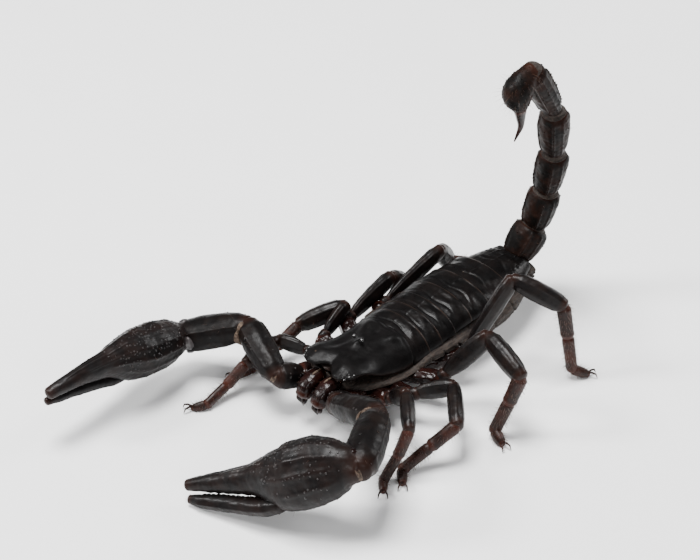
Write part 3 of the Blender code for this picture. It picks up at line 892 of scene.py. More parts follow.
@dataclass(frozen=True)
class ScatterTree:
    """A node tree that sets granules on a shell, or bristles that lean the way the shell says."""

    growth: Growth
    crowding: float = 1.1
    tip_width: float = 0.008
    swerve: float = 0.45
    smallest: float = 0.45
    lean_seed: int = 5
    size_seed: int = 11

    def build(self) -> bpy.types.NodeTree:
        """Builds the tree with named inputs for its sizes.

        Returns:
            The tree.
        """
        tree = bpy.data.node_groups.new(f"{self.growth.value}_scatter", "GeometryNodeTree")
        kinds = {"Shell": "Geometry", "Seed": "Int", "Finish": "Material"}
        for title in ("Shell", "Spacing", "Length", "Width", "Bend", "Lean", "Seed", "Finish"):
            kind = kinds.get(title, "Float")
            tree.interface.new_socket(title, in_out="INPUT", socket_type=f"NodeSocket{kind}")
        tree.interface.new_socket("Pieces", in_out="OUTPUT", socket_type="NodeSocketGeometry")
        add = partial(add_node, tree)
        given = add("NodeGroupInput").outputs
        cover = add("GeometryNodeInputNamedAttribute", {"Name": "cover"}, data_type="FLOAT")
        gap = add("ShaderNodeMath", {0: given["Spacing"], 1: given["Spacing"]}, operation="MULTIPLY")
        crowd = add("ShaderNodeMath", {0: self.crowding, 1: gap}, operation="DIVIDE")
        spots = add("GeometryNodeDistributePointsOnFaces", {
            "Mesh": given["Shell"], "Distance Min": given["Spacing"], "Density Max": crowd,
            "Density Factor": cover, "Seed": given["Seed"],
        }, distribute_method="POISSON")
        rooted = add("GeometryNodeStoreNamedAttribute", {
            "Geometry": spots, "Name": "root_at", "Value": add("GeometryNodeInputPosition"),
        }, data_type="FLOAT_VECTOR", domain="POINT")
        vector = partial(add, "ShaderNodeVectorMath")
        lie = add("GeometryNodeInputNamedAttribute", {"Name": "lie"}, data_type="FLOAT_VECTOR")
        any_way = add("FunctionNodeRandomValue", {
            "Min": (-1.0, -1.0, -1.0), "Max": (1.0, 1.0, 1.0), "Seed": self.lean_seed,
        }, data_type="FLOAT_VECTOR")
        swerve = vector({0: any_way, "Scale": self.swerve}, operation="SCALE")
        swerved = vector({0: swerve, 1: lie}, operation="ADD")
        lean = vector({0: swerved, "Scale": given["Lean"]}, operation="SCALE")
        stand = vector({0: spots.outputs["Normal"], 1: lean}, operation="ADD")
        size = add("FunctionNodeRandomValue", {
            "Min": self.smallest, "Max": 1.0, "Seed": self.size_seed,
        }, data_type="FLOAT")
        grown = self.bristle(add, given) if self.growth is Growth.BRISTLE else self.granule(add, given)
        turn = add("FunctionNodeAlignRotationToVector", {"Vector": stand}, axis="Z")
        placed = add("GeometryNodeInstanceOnPoints", {
            "Points": rooted, "Instance": grown, "Rotation": turn, "Scale": size,
        })
        real = add("GeometryNodeRealizeInstances", {"Geometry": placed})
        smooth = add("GeometryNodeSetShadeSmooth", {"Geometry": real})
        dressed = add("GeometryNodeSetMaterial", {"Geometry": smooth, "Material": given["Finish"]})
        add("NodeGroupOutput", {"Pieces": dressed})
        return tree

    @staticmethod
    def granule(add: Adder, given: bpy.types.NodeOutputs) -> bpy.types.Node:
        """A low dome sunk into the shell."""
        ball = add("GeometryNodeMeshIcoSphere", {"Radius": given["Width"], "Subdivisions": 2})
        return add("GeometryNodeTransform", {"Geometry": ball, "Scale": (1.0, 1.0, 0.75)})

    def bristle(self, add: Adder, given: bpy.types.NodeOutputs) -> bpy.types.Node:
        """A thin tapering spike that bends over towards its tip.

        Args:
            add: adds a node to the tree.
            given: the tree's inputs.

        Returns:
            The node that gives the spike.
        """
        spike = add("GeometryNodeMeshCone", {
            "Vertices": 4, "Side Segments": 5, "Fill Segments": 1, "Radius Top": self.tip_width * MM,
            "Radius Bottom": given["Width"], "Depth": given["Length"],
        })
        height = add("ShaderNodeSeparateXYZ", {0: add("GeometryNodeInputPosition")}).outputs["Z"]
        share = add("ShaderNodeMath", {0: height, 1: given["Length"]}, operation="DIVIDE")
        squared = add("ShaderNodeMath", {0: share, 1: 2.0}, operation="POWER")
        shift = add("ShaderNodeMath", {0: squared, 1: given["Bend"]}, operation="MULTIPLY")
        offset = add("ShaderNodeCombineXYZ", {"X": shift})
        return add("GeometryNodeSetPosition", {"Geometry": spike, "Offset": offset})


@dataclass(frozen=True)
class Scatter:
    """Sizes of one growth of granules or bristles, in millimetres."""

    spacing: float
    length: float = 1.0
    width: float = 0.03
    bend: float = 0.3
    lean: float = 0.6
    seed: int = 3


class Workshop:
    """Makes the pieces, dresses them, and hides the solids that each one stands for."""

    margin = 0.02

    def __init__(self) -> None:
        """Reads the frame's box and where the body's origin stands, and makes the finishes and trees."""
        low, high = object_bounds()
        self.box = (np.array(low) / MM + (self.margin, self.margin, 0.0), np.array(high) / MM - self.margin)
        left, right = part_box("median_eye_left"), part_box("median_eye_right")
        middle = (left[0] + left[1] + right[0] + right[1]) / 4 / MM
        self.origin = np.array((middle.x, middle.y - PLAN.eye_y, 0.0))
        self.finish = {name: finish.build() for name, finish in FINISHES.items()}
        self.trees = {growth: ScatterTree(growth).build() for growth in Growth}
        self.triangles = 0

    def piece(self, name: str, shell: Shell, finish: str, slot: str, *nodes: str) -> bpy.types.Object:
        """Makes one piece from a shell.

        Args:
            name: the piece's name.
            shell: its grids of points.
            finish: which finish it wears.
            slot: a material slot's name, passed on to keep.
            nodes: the solids that it stands for.

        Returns:
            The piece.
        """
        made = bpy.data.objects.new(name, shell.mesh(name, self.origin, self.box))
        bpy.context.scene.collection.objects.link(made)
        made.data.materials.append(self.finish[finish])
        self.keep(made, slot)
        if nodes:
            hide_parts(*nodes)
        return made

    def keep(self, made: bpy.types.Object, slot: str) -> None:
        """Puts a piece on the body and reports its triangles.

        Args:
            made: the piece.
            slot: not used.
        """
        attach(made, BODY)
        made.data.calc_loop_triangles()
        self.triangles += len(made.data.loop_triangles)
        LOG.info("%s: %d triangles", made.name, len(made.data.loop_triangles))

    def bristles(self, name: str, host: bpy.types.Object, sizes: Scatter) -> None:
        """Grows bristles on a finished piece."""
        self.scatter(name, host, Growth.BRISTLE, sizes, "bristle", "foot_shell")

    def granules(self, name: str, host: bpy.types.Object, sizes: Scatter, finish: str) -> None:
        """Grows granules on a finished piece."""
        self.scatter(name, host, Growth.GRANULE, sizes, finish, "limb_shell")

    def scatter(
        self, name: str, host: bpy.types.Object, growth: Growth, sizes: Scatter, finish: str, slot: str
    ) -> None:
        """Grows granules or bristles on a finished piece, as one plain mesh of its own.

        Args:
            name: the new piece's name.
            host: the piece that they stand on.
            growth: which of the two.
            sizes: their spacing and size.
            finish: which finish they wear.
            slot: a material slot's name, passed on to keep.
        """
        grower = bpy.data.objects.new(name, host.data.copy())
        bpy.context.scene.collection.objects.link(grower)
        modifier = grower.modifiers.new("scatter", "NODES")
        modifier.node_group = self.trees[growth]
        values = {
            "Spacing": sizes.spacing * MM, "Length": sizes.length * MM, "Width": sizes.width * MM,
            "Bend": sizes.bend * MM, "Lean": sizes.lean, "Seed": sizes.seed, "Finish": self.finish[finish],
        }
        for item in modifier.node_group.interface.items_tree:
            if item.name in values:
                modifier[item.identifier] = values[item.name]
        shown = grower.evaluated_get(bpy.context.evaluated_depsgraph_get())
        mesh = bpy.data.meshes.new_from_object(shown)
        grower.modifiers.remove(modifier)
        grower.data = mesh
        mesh.name = name
        self.patch_roots(mesh)
        self.leave_inside(mesh)
        self.keep(grower, slot)

    def leave_inside(self, mesh: bpy.types.Mesh) -> None:
        """Takes off every bristle or granule that would pass the floor or the model's box.

        Args:
            mesh: grown pieces that each carry their root's place.
        """
        points, roots = read_vectors(mesh, "position"), read_vectors(mesh, "root_at")
        past = ((points / MM < self.box[0]) | (points / MM > self.box[1])).any(axis=1)
        owner = np.unique(np.round(roots / MM, 4), axis=0, return_inverse=True)[1].reshape(-1)
        gone = np.isin(owner, owner[past])
        if not gone.any():
            return
        working = bmesh.new()
        working.from_mesh(mesh)
        working.verts.ensure_lookup_table()
        bmesh.ops.delete(working, geom=[working.verts[i] for i in np.flatnonzero(gone)], context="VERTS")
        working.to_mesh(mesh)
        working.free()

    @staticmethod
    def patch_roots(mesh: bpy.types.Mesh, patch_half: float = 0.0015) -> None:
        """Writes the map OFBake, where each small thing is a patch at its root's place on the host's unwrap.

        Args:
            mesh: grown pieces that each carry their root's place, in space and on the host's unwrap.
            patch_half: half the size of a patch on the unwrap.
        """
        away = read_vectors(mesh, "position") - read_vectors(mesh, "root_at")
        size = float(np.abs(away).max())
        corner = read_vectors(mesh, "root_uv")[:, :2] + patch_half * (away[:, :2] + away[:, 2:] * 0.5) / size
        loops = np.zeros(len(mesh.loops), np.int32)
        mesh.loops.foreach_get("vertex_index", loops)
        mesh.uv_layers.new(name="OFBake").data.foreach_set("uv", corner[loops].reshape(-1))


def read_vectors(mesh: bpy.types.Mesh, title: str) -> Array:
    """Reads one vector attribute of a mesh's points.

    Args:
        mesh: the mesh.
        title: the attribute's name.

    Returns:
        One row for each point.
    """
    values = np.zeros(len(mesh.vertices) * 3, np.float32)
    mesh.attributes[title].data.foreach_get("vector", values)
    return values.reshape(-1, 3)


# ---- head


@dataclass
class Prosoma:
    """Carapace with its eyes, the chelicerae, and the coxae and breastplate below.

    Each row of the chelicera is a place along the body, a height, a half width and a half height.
    """

    shop: Workshop
    shell_thickness: float = 1.15
    section_power: float = 2.6
    edge_lift: Knots = ((-41, 1.2), (-37, 2.0), (-33, 1.7), (-28, 0.0), (-22, -1.0), (-15.5, -0.6))
    width_gain: Knots = ((-40.5, 0.9), (-36, 0.3), (-31, -0.2), (-27, -0.6), (-22, -0.6), (-15.5, -0.2))
    eye_radius: float = 0.52
    lateral_eyes: int = 3
    lateral_eye_radius: float = 0.34
    chelicera_x: float = 2.75
    chelicera: Knots = (
        (-37.0, 12.9, 1.8, 1.0), (-38.6, 12.9, 2.2, 1.6), (-40.9, 12.2, 2.5, 2.2),
        (-43.0, 10.8, 2.4, 2.35), (-44.2, 9.2, 2.05, 2.0),
    )
    breastplate: Knots = ((0, 0.5, 0.5), (0.15, 0.85, 0.8), (0.5, 1, 1), (0.85, 0.9, 0.95), (1, 0.6, 0.6))
    breastplate_ends: tuple[Place, Place] = ((0, -36.0, 7.4), (0, -11.5, 7.4))
    coxa: Knots = ((0, 0.95, 0.9), (0.4, 1.12, 1.0), (0.8, 1.04, 1.04), (0.94, 1.06, 1.08), (1, 0.94, 0.94))
    pedipalp_coxa: Place = (4.2, -32.5, 7.6)
    pedipalp_root: Place = (8.4, -39.5, 9.6)
    pedipalp_coxa_half: float = 2.75
    coxa_roots: Knots = ((4.0, -28.0, 7.4), (4.5, -24.5, 7.4), (4.6, -20.5, 7.3), (4.4, -16.5, 7.2))
    hips: Knots = ((13.4, -30.0, 8.6), (16.0, -25.0, 8.6), (17.2, -14.5, 8.6), (15.2, -3.0, 8.6))
    coxa_half: float = 1.65 * 1.08

    def build(self) -> None:
        """Makes every piece of the head."""
        self.carapace()
        for side in SIDES:
            self.eyes(side)
        for side in SIDES:
            self.chelicera_on(side)
        self.coxae()

    def carapace_top(self, across: Array, along: Array) -> Array:
        """Points of the carapace's upper side, with its lobes, ridges and furrows.

        Args:
            across: share across, -1 to 1.
            along: share along, 0 at the front margin.

        Returns:
            The points.
        """
        side = np.abs(across)
        notch = 3.0 * bump(side, 0.27)
        corner = 2.6 * ramp(side, 0.6, 0.4) ** 2.6 - 0.6
        front = PLAN.front_y + notch + corner + 0.07 * np.sin(across * 23)
        rear = PLAN.rear_y + 0.1 - 0.6 * across * across - 1.1 * side**8
        y = front + (rear - front) * along
        x = across * (PLAN.width_at(y) + PLAN.along(self.width_gain, y, 0.08))
        height = PLAN.back_at(across, y, PLAN.along(self.edge_lift, y, 0.08), self.section_power)
        # A slight sag in the middle, a swollen brow that turns down at the margin, and a lobe on each side.
        height = height - 0.4 * bump(along - 0.55, 0.3)
        height = height + 0.9 * bump(along - 0.16, 0.13) * np.clip(1.1 - side, 0, 1)
        height = height - 0.5 * (1 - ramp(along, 0, 0.05)) ** 2
        height = height + 1.1 * bump(side - 0.62, 0.34) * bump(along - 0.22, 0.17)
        points = np.stack([x, y, height + self.carapace_relief(x, y - PLAN.eye_y, side, along)], axis=-1)
        waves = 0.12 * lumps(points * (1.0, 0.55, 1.0), 2.6, 4) + 0.025 * lumps(points, 1.0, 5)
        points[..., 2] += waves * np.clip(1.25 - side, 0.1, 1)
        return points

    @staticmethod
    def carapace_relief(x: Array, eye: Array, side: Array, along: Array) -> Array:
        """Ridges and furrows of the carapace.

        Args:
            x: millimetres from the middle line.
            eye: millimetres behind the median eyes.
            side: share out to the side, 0 to 1.
            along: share along, 0 at the front margin.

        Returns:
            Millimetres.
        """
        away = np.abs(x)
        # The hump of the median eyes, and the middle furrow ahead of it and behind it.
        relief = 0.7 * bump(x, 1.9) * bump(eye, 2.9) + 0.35 * bump(x, 0.8) * bump(eye + 0.2, 1.8)
        relief -= 0.25 * bump(x, 1.6) * tent(eye, -8.0, 8.0)
        relief -= 0.5 * bump(x, 1.2) * tent(eye, 7.0, 6.0)
        # Two ridges that spread forwards from the hump, with a furrow outside each.
        track = 1.9 + 0.055 * np.clip(-eye, 0, 14) ** 1.55
        relief += 0.26 * bump(away - track, 1.0) * tent(eye, -5.0, 9.5)
        relief -= 0.28 * bump(away - track - 2.0, 1.3) * tent(eye, -3.5, 8.0)
        # A low outer ridge, and the furrow and swelling on each side of the rear half.
        outer = 4.2 + 0.16 * (eye + 4)
        relief += 0.16 * bump(away - outer - 1.0, 1.2) * tent(eye, 3.0, 8.0)
        relief -= 0.3 * bump(away - 3.2 - 0.42 * np.clip(eye - 1, 0, 12), 1.1) * tent(eye, 6.5, 5.5)
        relief += 0.5 * bump(away - 4.6, 2.0) * bump(eye - 8.2, 2.3)
        # The groove along the rear margin.
        relief -= 0.2 * bump(along - 0.95, 0.025) * np.clip(1.15 - side, 0, 1)
        return relief

    def carapace(self) -> None:
        """The carapace, with beads along the outer part of its front margin."""
        shares = np.sin(np.pi / 2 * np.linspace(-1, 1, 231))
        along, across = np.meshgrid(np.linspace(0, 1, 170) ** 1.05, shares, indexing="ij")
        top = self.carapace_top(across, along)
        side = np.abs(across)
        beads = ramp(side, 0.55, 0.2) * (1 - ramp(along, 0, 0.16)) * grains(top, 0.8, 8)
        top[..., 2] += 0.22 * beads
        rim = np.clip(ramp(side, 0.965, 0.03) + 1 - ramp(along, 0, 0.015), 0, 1)
        shell = Shell()
        grow_plate(shell, top, self.shell_thickness, beads, rim, 0.85, 0.05)
        host = self.shop.piece("carapace_shell", shell, "head", "shell_plate", "carapace")
        self.shop.bristles("carapace_bristles", host, Scatter(2.6, 0.8, 0.022, 0.2, 0.8, 4))

    def eyes(self, side: str) -> None:
        """One median eye on the hump, and the small lateral eyes at the front corner.

        Args:
            side: left or right.
        """
        sign = SIDES[side]
        low, high = (np.array(corner) / MM - self.shop.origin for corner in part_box(f"median_eye_{side}"))
        shell = Shell()
        centre = (low + high) / 2 + (sign * 0.05, 0.0, -0.25)
        self.lens(shell, centre, np.array((sign * 0.7, -0.15, 0.75)), self.eye_radius)
        self.shop.piece(f"median_eye_lens_{side}", shell, "lens", "eye", f"median_eye_{side}")
        shell = Shell()
        look = np.array((sign * 0.8, -0.4, 0.5))
        for number in range(self.lateral_eyes):
            across, along = np.array([sign * (0.86 + 0.03 * number)]), np.array([0.02 + 0.045 * number])
            place = self.carapace_top(across, along)[0] - (0, 0, 0.16)
            self.lens(shell, place, look, self.lateral_eye_radius)
        self.shop.piece(f"lateral_eye_lenses_{side}", shell, "lens", "eye")

    @staticmethod
    def lens(shell: Shell, centre: Array, look: Array, radius: float) -> None:
        """Adds one ball that looks outwards.

        Args:
            shell: where the points go.
            centre: the ball's middle.
            look: the way it looks.
            radius: of the ball.
        """
        way = unit(look)
        tilt = np.linspace(0.02, np.pi - 0.02, 19)[:, None, None]
        turn = 2 * np.pi * np.arange(28)[:, None] / 28
        across = unit(np.cross(way, UP))
        ring = across * np.cos(turn) + np.cross(across, way) * np.sin(turn)
        shell.add_grid(centre + radius * (np.cos(tilt) * way + np.sin(tilt) * ring))

    def chelicera_on(self, side: str) -> None:
        """One chelicera: a thick barrel, a pale strip of skin on top, and two short toothed fingers.

        Args:
            side: left or right.
        """
        sign = SIDES[side]
        y, z, wide, high = np.array(self.chelicera).T
        shares = np.linspace(0, 1, 60)
        at = np.linspace(0, 1, len(y))
        knots = tuple(zip(at, np.full(len(y), sign * self.chelicera_x), y, z, wide, high))
        x, y, z, wide, high = profile(knots, shares, 0.08)
        shell = Shell()
        keels = (Keel(60, 0.12, 10), Keel(120, 0.12, 10))
        barrel = Tube(keels=keels, wave=0.12, sides=64, cover=0.15, warm_ends=0.16)
        barrel.add_rings(shell, shares, np.stack([x, y, z], axis=-1), wide, high, UP, 10.0)
        tip = np.array((x[-1], y[-1], z[-1]))
        taper = ((0, 1, 1), (0.6, 0.75, 0.8), (1, 0.28, 0.3))
        for spread, length, thick, teeth_angle in ((0.85, 3.2, 0.85, 180), (-0.75, 3.6, 0.95, 0)):
            base = tip + np.array((sign * spread, 0.3, 0.2))
            bend = base + (sign * 0.25 * spread, -0.9, -0.45 * length)
            end = base + (-sign * spread * 0.9 * abs(spread), -0.5, -0.95 * length)
            finger = Tube(
                taper, thick, thick, (Keel(teeth_angle, 0.25, 16, bead=0.8),), 2.0,
                wave=0.02, step=0.12, sides=32, end=RingEnd.POINT, warm_ends=0.0, cover=0.1,
            )
            finger.grow(shell, (base, bend, end), FORWARD)
        host = self.shop.piece(f"chelicera_shell_{side}", shell, "red", "red_shell", f"chelicera_{side}")
        self.shop.bristles(f"chelicera_bristles_{side}", host, Scatter(0.5, 1.3, 0.035, 0.3, 0.9, 7))
        skin = Shell()
        taper = ((0, 0.7, 1), (0.5, 1, 1), (1, 0.5, 0.8))
        strip = Tube(taper, 0.34, 0.3, wave=0.02, step=0.2, sides=24, warm_ends=0.0)
        ridge = np.stack([x - sign * 0.55, y, z + high - 0.12], axis=-1)
        strip.grow(skin, ridge[12:48], UP)
        self.shop.piece(f"chelicera_skin_{side}", skin, "joint", "membrane")

    def coxae(self) -> None:
        """The breastplate and the ten coxae."""
        shell = Shell()
        Tube(self.breastplate, 6.0, 2.0, wave=0.08, step=0.4).grow(shell, self.breastplate_ends, UP)
        keels = (Keel(70, 0.22, 8, 0.2, 0.97), Keel(150, 0.18, 9, 0.2, 0.97), Keel(30, 0.14, 9, 0.2, 0.97))
        for side in SIDES:
            limbs = [(self.pedipalp_coxa, self.pedipalp_root, self.pedipalp_coxa_half)]
            limbs += [(root, hip, self.coxa_half) for root, hip in zip(self.coxa_roots, self.hips)]
            for inner, outer, half in limbs:
                coxa = Tube(
                    self.coxa, 1.25 * half, 1.1 * half, keels, grain=0.1, grain_size=1.1, wave=0.3,
                    sides=60, cover=0.08, seed=11, warm_ends=0.06,
                )
                coxa.grow(shell, (on_side(inner, side), on_side(outer, side)), UP)
        host = self.shop.piece("coxae_and_breastplate", shell, "red", "red_shell", "coxosternum")
        self.shop.bristles("coxa_bristles", host, Scatter(0.9, 1.0, 0.025, 0.2, 0.8, 9))


# ---- trunk


@dataclass
class Mesosoma:
    """Seven back plates, the skin of the flanks, five belly plates and the combs."""

    shop: Workshop
    plate_thickness: float = 0.9
    narrowing: Knots = ((-17, 0.97), (-9, 0.93), (2, 0.9), (20, 0.91), (34, 0.93))
    side_lift: tuple[float, ...] = (0.0, 0.6, 1.2, 1.8, 2.2, 2.2, 1.2)
    overlap: float = 0.9
    tuck: float = 0.28
    skin_bulge: Knots = ((-37, -1.0), (-30, 0.5), (-22, 1.0), (-12, 1.2), (0, 1.2), (20, 1.0), (35, 0.1))
    skin_top: Knots = ((-37, -0.6), (-33, -1.6), (-27, -2.2), (-19, -1.6), (-13, 0.7), (35, 1.0))
    skin_ends: tuple[float, float] = (-36.8, 35.0)
    belly_ends: tuple[float, float] = (3.0, 35.8)
    belly_plates: int = 5
    belly_thickness: float = 0.8
    book_lungs: int = 4
    comb_ends: tuple[Place, Place] = ((2.2, -7.6, 5.1), (12.6, 1.6, 4.2))
    comb_spine: Knots = ((0, 0.8, 1), (0.5, 1, 1), (1, 0.5, 0.7))
    comb_tooth: Knots = ((0, 0.8, 1), (0.6, 1, 1), (1, 0.5, 0.6))
    comb_teeth: int = 16

    def build(self) -> None:
        """Makes every piece of the trunk."""
        start = PLAN.rear_y
        for number, length in enumerate(PLAN.tergite_lengths, 1):
            self.tergite(number, start, length)
            start += length
        self.flanks()
        self.belly()
        for side in SIDES:
            self.comb(side)

    def tergite(self, number: int, start: float, length: float) -> None:
        """One back plate, with irregular cross waves and a thin rear margin painted pale as a highlight.

        Args:
            number: 1 to 7 from the front.
            start: where it comes out from under the one before.
            length: how much of it shows.
        """
        last = number == len(PLAN.tergite_lengths)
        shares = np.sin(np.pi / 2 * np.linspace(-1, 1, 221))
        share, across = np.meshgrid(np.linspace(0, 1, max(44, int(length / 0.17))), shares, indexing="ij")
        hidden = self.overlap / length
        along = -hidden + share * (1 + hidden + (0.0 if last else self.tuck / length))
        shown, side = np.clip(along, 0, 1), np.abs(across)
        y = start + length * along - 0.7 * across * across * np.clip(1.2 - along, 0.4, 1)
        x = across * PLAN.width_at(y) * (PLAN.along(self.narrowing, y, 0.06) + 0.015 * shown)
        lift = -0.32 + 0.5 * shown - 1.2 * np.clip(-along, 0, 1) * length * 0.35
        lift = lift + self.side_lift[number - 1] * side**3
        z = PLAN.back_at(across, np.minimum(y, PLAN.last_plate_y)) + lift
        points = np.stack([x, y, z], axis=-1)
        seed = 20 + number
        waves = 0.13 * lumps(points * (0.35, 1.0, 0.2), 1.3, seed)
        waves = waves + 0.17 * lumps(points * (0.6, 0.9, 0.5), 2.8, seed + 30)
        waves += 0.025 * lumps(points, 0.7, seed + 60)
        winding = 0.06 * np.sin(across * 7 + number)
        crease = -0.22 * bump(along - 0.33 - winding, 0.05) * np.clip(1.1 - side, 0, 1)
        boss = 0.22 * bump(side - 0.55, 0.16) * bump(along - 0.62, 0.22)
        middle = 0.12 * bump(across, 0.035) * np.clip(along * 2, 0, 1)
        rim = np.clip((along - 1 + 0.35 / length) * length / 0.3, 0, 1)
        points[..., 2] += (waves + crease + boss + middle) * (1 - rim) + 0.05 * rim
        if last:
            for place in (0.34, 0.68):
                beads = np.clip((along - 0.35) * 3, 0, 1) * (0.6 + 0.4 * np.cos(y * 4.2))
                points[..., 2] += 0.3 * bump(side - place, 0.035) * beads
            points[..., 1] -= 1.1 * ramp(along, 0.55, 0.45) ** 2 * bump(across, 0.9)
        shell = Shell()
        # The pale tone along the rear margin is a painted highlight, broken up by lumps.
        tint = rim * (0.35 + 0.5 * lumps(points, 2.2, seed + 5))
        grow_plate(shell, points, self.plate_thickness, np.clip(waves * 1.5, 0, 0.6), tint)
        self.shop.piece(f"back_plate_{number}", shell, "back", "shell_plate", f"tergite_{number}")

    def flanks(self) -> None:
        """The skin between back and belly, bulging a little past the plates, with long fine creases."""
        y = np.linspace(*self.skin_ends, 330)
        wide = PLAN.width_at(np.minimum(y, PLAN.last_plate_y)) + PLAN.along(self.skin_bulge, y, 0.06)
        upper = PLAN.along(PLAN.edge, y) + PLAN.along(self.skin_top, y, 0.06)
        lower = PLAN.along(PLAN.belly, y) + 1.6
        centre = np.stack([np.zeros_like(y), y, (upper + lower) / 2], axis=-1)
        shell = Shell()
        skin = Tube(power=2.9, wave=0.14, sides=150, warm_ends=0.0)
        skin.add_rings(shell, np.linspace(0, 1, len(y)), centre, wide, (upper - lower) / 2 + 0.5, UP, 72.0)
        grid = shell.points[0]
        joins = PLAN.rear_y + np.cumsum((0.0, *PLAN.tergite_lengths))
        slant = grid[:, 1] + 0.45 * (grid[:, 2] - 9.0)
        nearest = np.abs(slant[:, None] - joins).min(axis=1)
        cells = lumps(grid * (1.0, 0.8, 1.4), 2.2, 3)
        swell = 0.1 * np.sin(grid[:, 2] * 4.5 + 2.6 * cells) + 0.18 * cells - 0.5 * bump(nearest, 0.4)
        grid[:, 0] += np.sign(grid[:, 0]) * swell * (np.abs(grid[:, 0]) > 5)
        self.shop.piece("flank_skin", shell, "skin", "membrane", "body_membrane")

    def belly(self) -> None:
        """Five belly plates, each over the next one's front, four of them with the slit of a book lung."""
        shell = Shell()
        edges = np.linspace(*self.belly_ends, self.belly_plates + 1)
        for number, (start, end) in enumerate(zip(edges, edges[1:])):
            share, across = np.meshgrid(np.linspace(0, 1, 34), np.linspace(-1, 1, 111), indexing="ij")
            y = start - 0.5 + (end - start + 0.6) * share
            within = np.minimum(y, PLAN.last_plate_y)
            wide = 0.9 * PLAN.width_at(within)
            x = across * wide
            low = PLAN.along(PLAN.belly, within) + 0.2 * wide * np.abs(0.9 * across) ** 2.4
            low -= 0.12 - 0.3 * (1 - share)
            low += 0.05 * lumps(np.stack([x, y, low], axis=-1), 1.6, 40 + number)
            if number < self.book_lungs:
                low += 0.25 * bump(np.abs(across) - 0.55, 0.08) * bump(share - 0.55, 0.04)
            top = np.stack([x, y, low + self.belly_thickness], axis=-1)
            margin = np.clip(share * 12 - 11, 0, 1)
            grow_plate(shell, top, self.belly_thickness, np.zeros(share.shape), margin)
        self.shop.piece("belly_shell", shell, "limb", "limb_shell", "belly_plates")

    def comb(self, side: str) -> None:
        """A comb: a flat spine that carries a row of teeth.

        Args:
            side: left or right.
        """
        root, tip = (on_side(end, side) for end in self.comb_ends)
        shell = Shell()
        spine = Tube(self.comb_spine, 1.0, 0.32, wave=0.03, step=0.2, warm_ends=0.0)
        spine.grow(shell, (root, tip), UP)
        back = unit(on_side((-0.5, 1.0, 0.0), side))
        tooth = Tube(self.comb_tooth, 0.27, 0.2, wave=0.0, step=0.2, sides=16, warm_ends=0.0)
        for share in np.linspace(0.05, 0.97, self.comb_teeth):
            place = root + (tip - root) * share
            tooth.grow(shell, (place + back * 0.5, place + back * (1.9 - 0.7 * share)), UP)
        self.shop.piece(f"comb_shell_{side}", shell, "joint", "membrane", f"comb_{side}")


# ---- pincers


@dataclass(frozen=True)
class PincerPose:
    """How one pincer limb is held, and how its claw differs from a straight full one.

    Each step is a segment's length, azimuth and elevation. The bow is the claw's bend in millimetres, first
    the even one and then the one near its tip. Slim is the share of the full depth that the palm keeps.
    """

    steps: Knots
    hang: Place
    bow: tuple[float, float]
    slim: float
    condyle_finish: str


@dataclass(frozen=True)
class ClawHalf:
    """The palm with its fixed finger, or the movable finger.

    Each row of the outline is a share of the claw's length, the reach away from the movable finger, the reach
    towards it, and half the thickness.
    """

    name: str
    outline: Knots
    keels: tuple[Keel, ...]
    rings: int
    sides: int
    filled: float
    crest: float
    wear: Place

    def growth(self, share: Array, turn: Array, cover: Array) -> Array:
        """How thickly granules and bristles stand: thick along the crest, thin where the finger is worn.

        Args:
            share: share along this half.
            turn: share round it.
            cover: what its keels give.

        Returns:
            The cover, 0 to 1.
        """
        start, length, least = self.wear
        crest = np.clip(np.cos(2 * np.pi * (turn - 0.5)) * 1.6 - 0.1, 0, 1) * ramp(share, 0.06, 0.1)
        return np.maximum(cover, self.crest * crest) * np.clip(1 - (share - start) / length, least, 1)


PALM = ClawHalf(
    "palm",
    (
        (0.0, 3.6, 3.4, 3.0), (0.05, 6.3, 4.5, 4.4), (0.12, 8.5, 6.0, 5.6), (0.22, 9.8, 7.1, 6.3),
        (0.34, 9.4, 7.8, 6.3), (0.4, 8.7, 7.5, 5.8), (0.44, 8.1, 6.3, 5.3), (0.48, 7.5, 5.3, 4.8),
        (0.54, 6.1, 3.5, 3.9), (0.6, 5.0, 2.4, 3.2), (0.78, 3.8, 1.2, 2.3), (0.93, 3.0, 0.6, 1.8),
        (0.968, 2.6, 0.45, 1.6),
    ),
    (
        Keel(180, 0.2, 5, 0.06, 0.9), Keel(144, 0.2, 6, 0.05, 0.8), Keel(116, 0.28, 5, 0.08, 0.62),
        Keel(90, 0.32, 5, 0.08, 0.55), Keel(64, 0.28, 5, 0.08, 0.48), Keel(38, 0.2, 6, 0.08, 0.4),
        Keel(216, 0.2, 6, 0.06, 0.8), Keel(244, 0.28, 5, 0.08, 0.62), Keel(270, 0.32, 5, 0.08, 0.55),
        Keel(298, 0.26, 5, 0.08, 0.45), Keel(0, 0.34, 14, 0.5, 0.93, bead=2.6),
    ),
    rings=260, sides=150, filled=1.0, crest=0.75, wear=(0.5, 0.14, 0.03),
)
FINGER = ClawHalf(
    "finger",
    (
        (0.425, -3.6, 6.2, 2.8), (0.46, -3.4, 7.6, 3.2), (0.53, -3.3, 8.1, 3.2), (0.62, -3.0, 7.5, 2.7),
        (0.78, -1.9, 6.0, 2.1), (0.92, -1.3, 4.6, 1.6), (0.97, -1.2, 3.7, 1.1),
    ),
    (Keel(180, 0.34, 14, 0.12, 0.9, bead=2.4), Keel(70, 0.14, 8), Keel(290, 0.14, 8), Keel(20, 0.14, 9)),
    rings=150, sides=84, filled=0.0, crest=0.0, wear=(0.3, 0.3, 0.1),
)


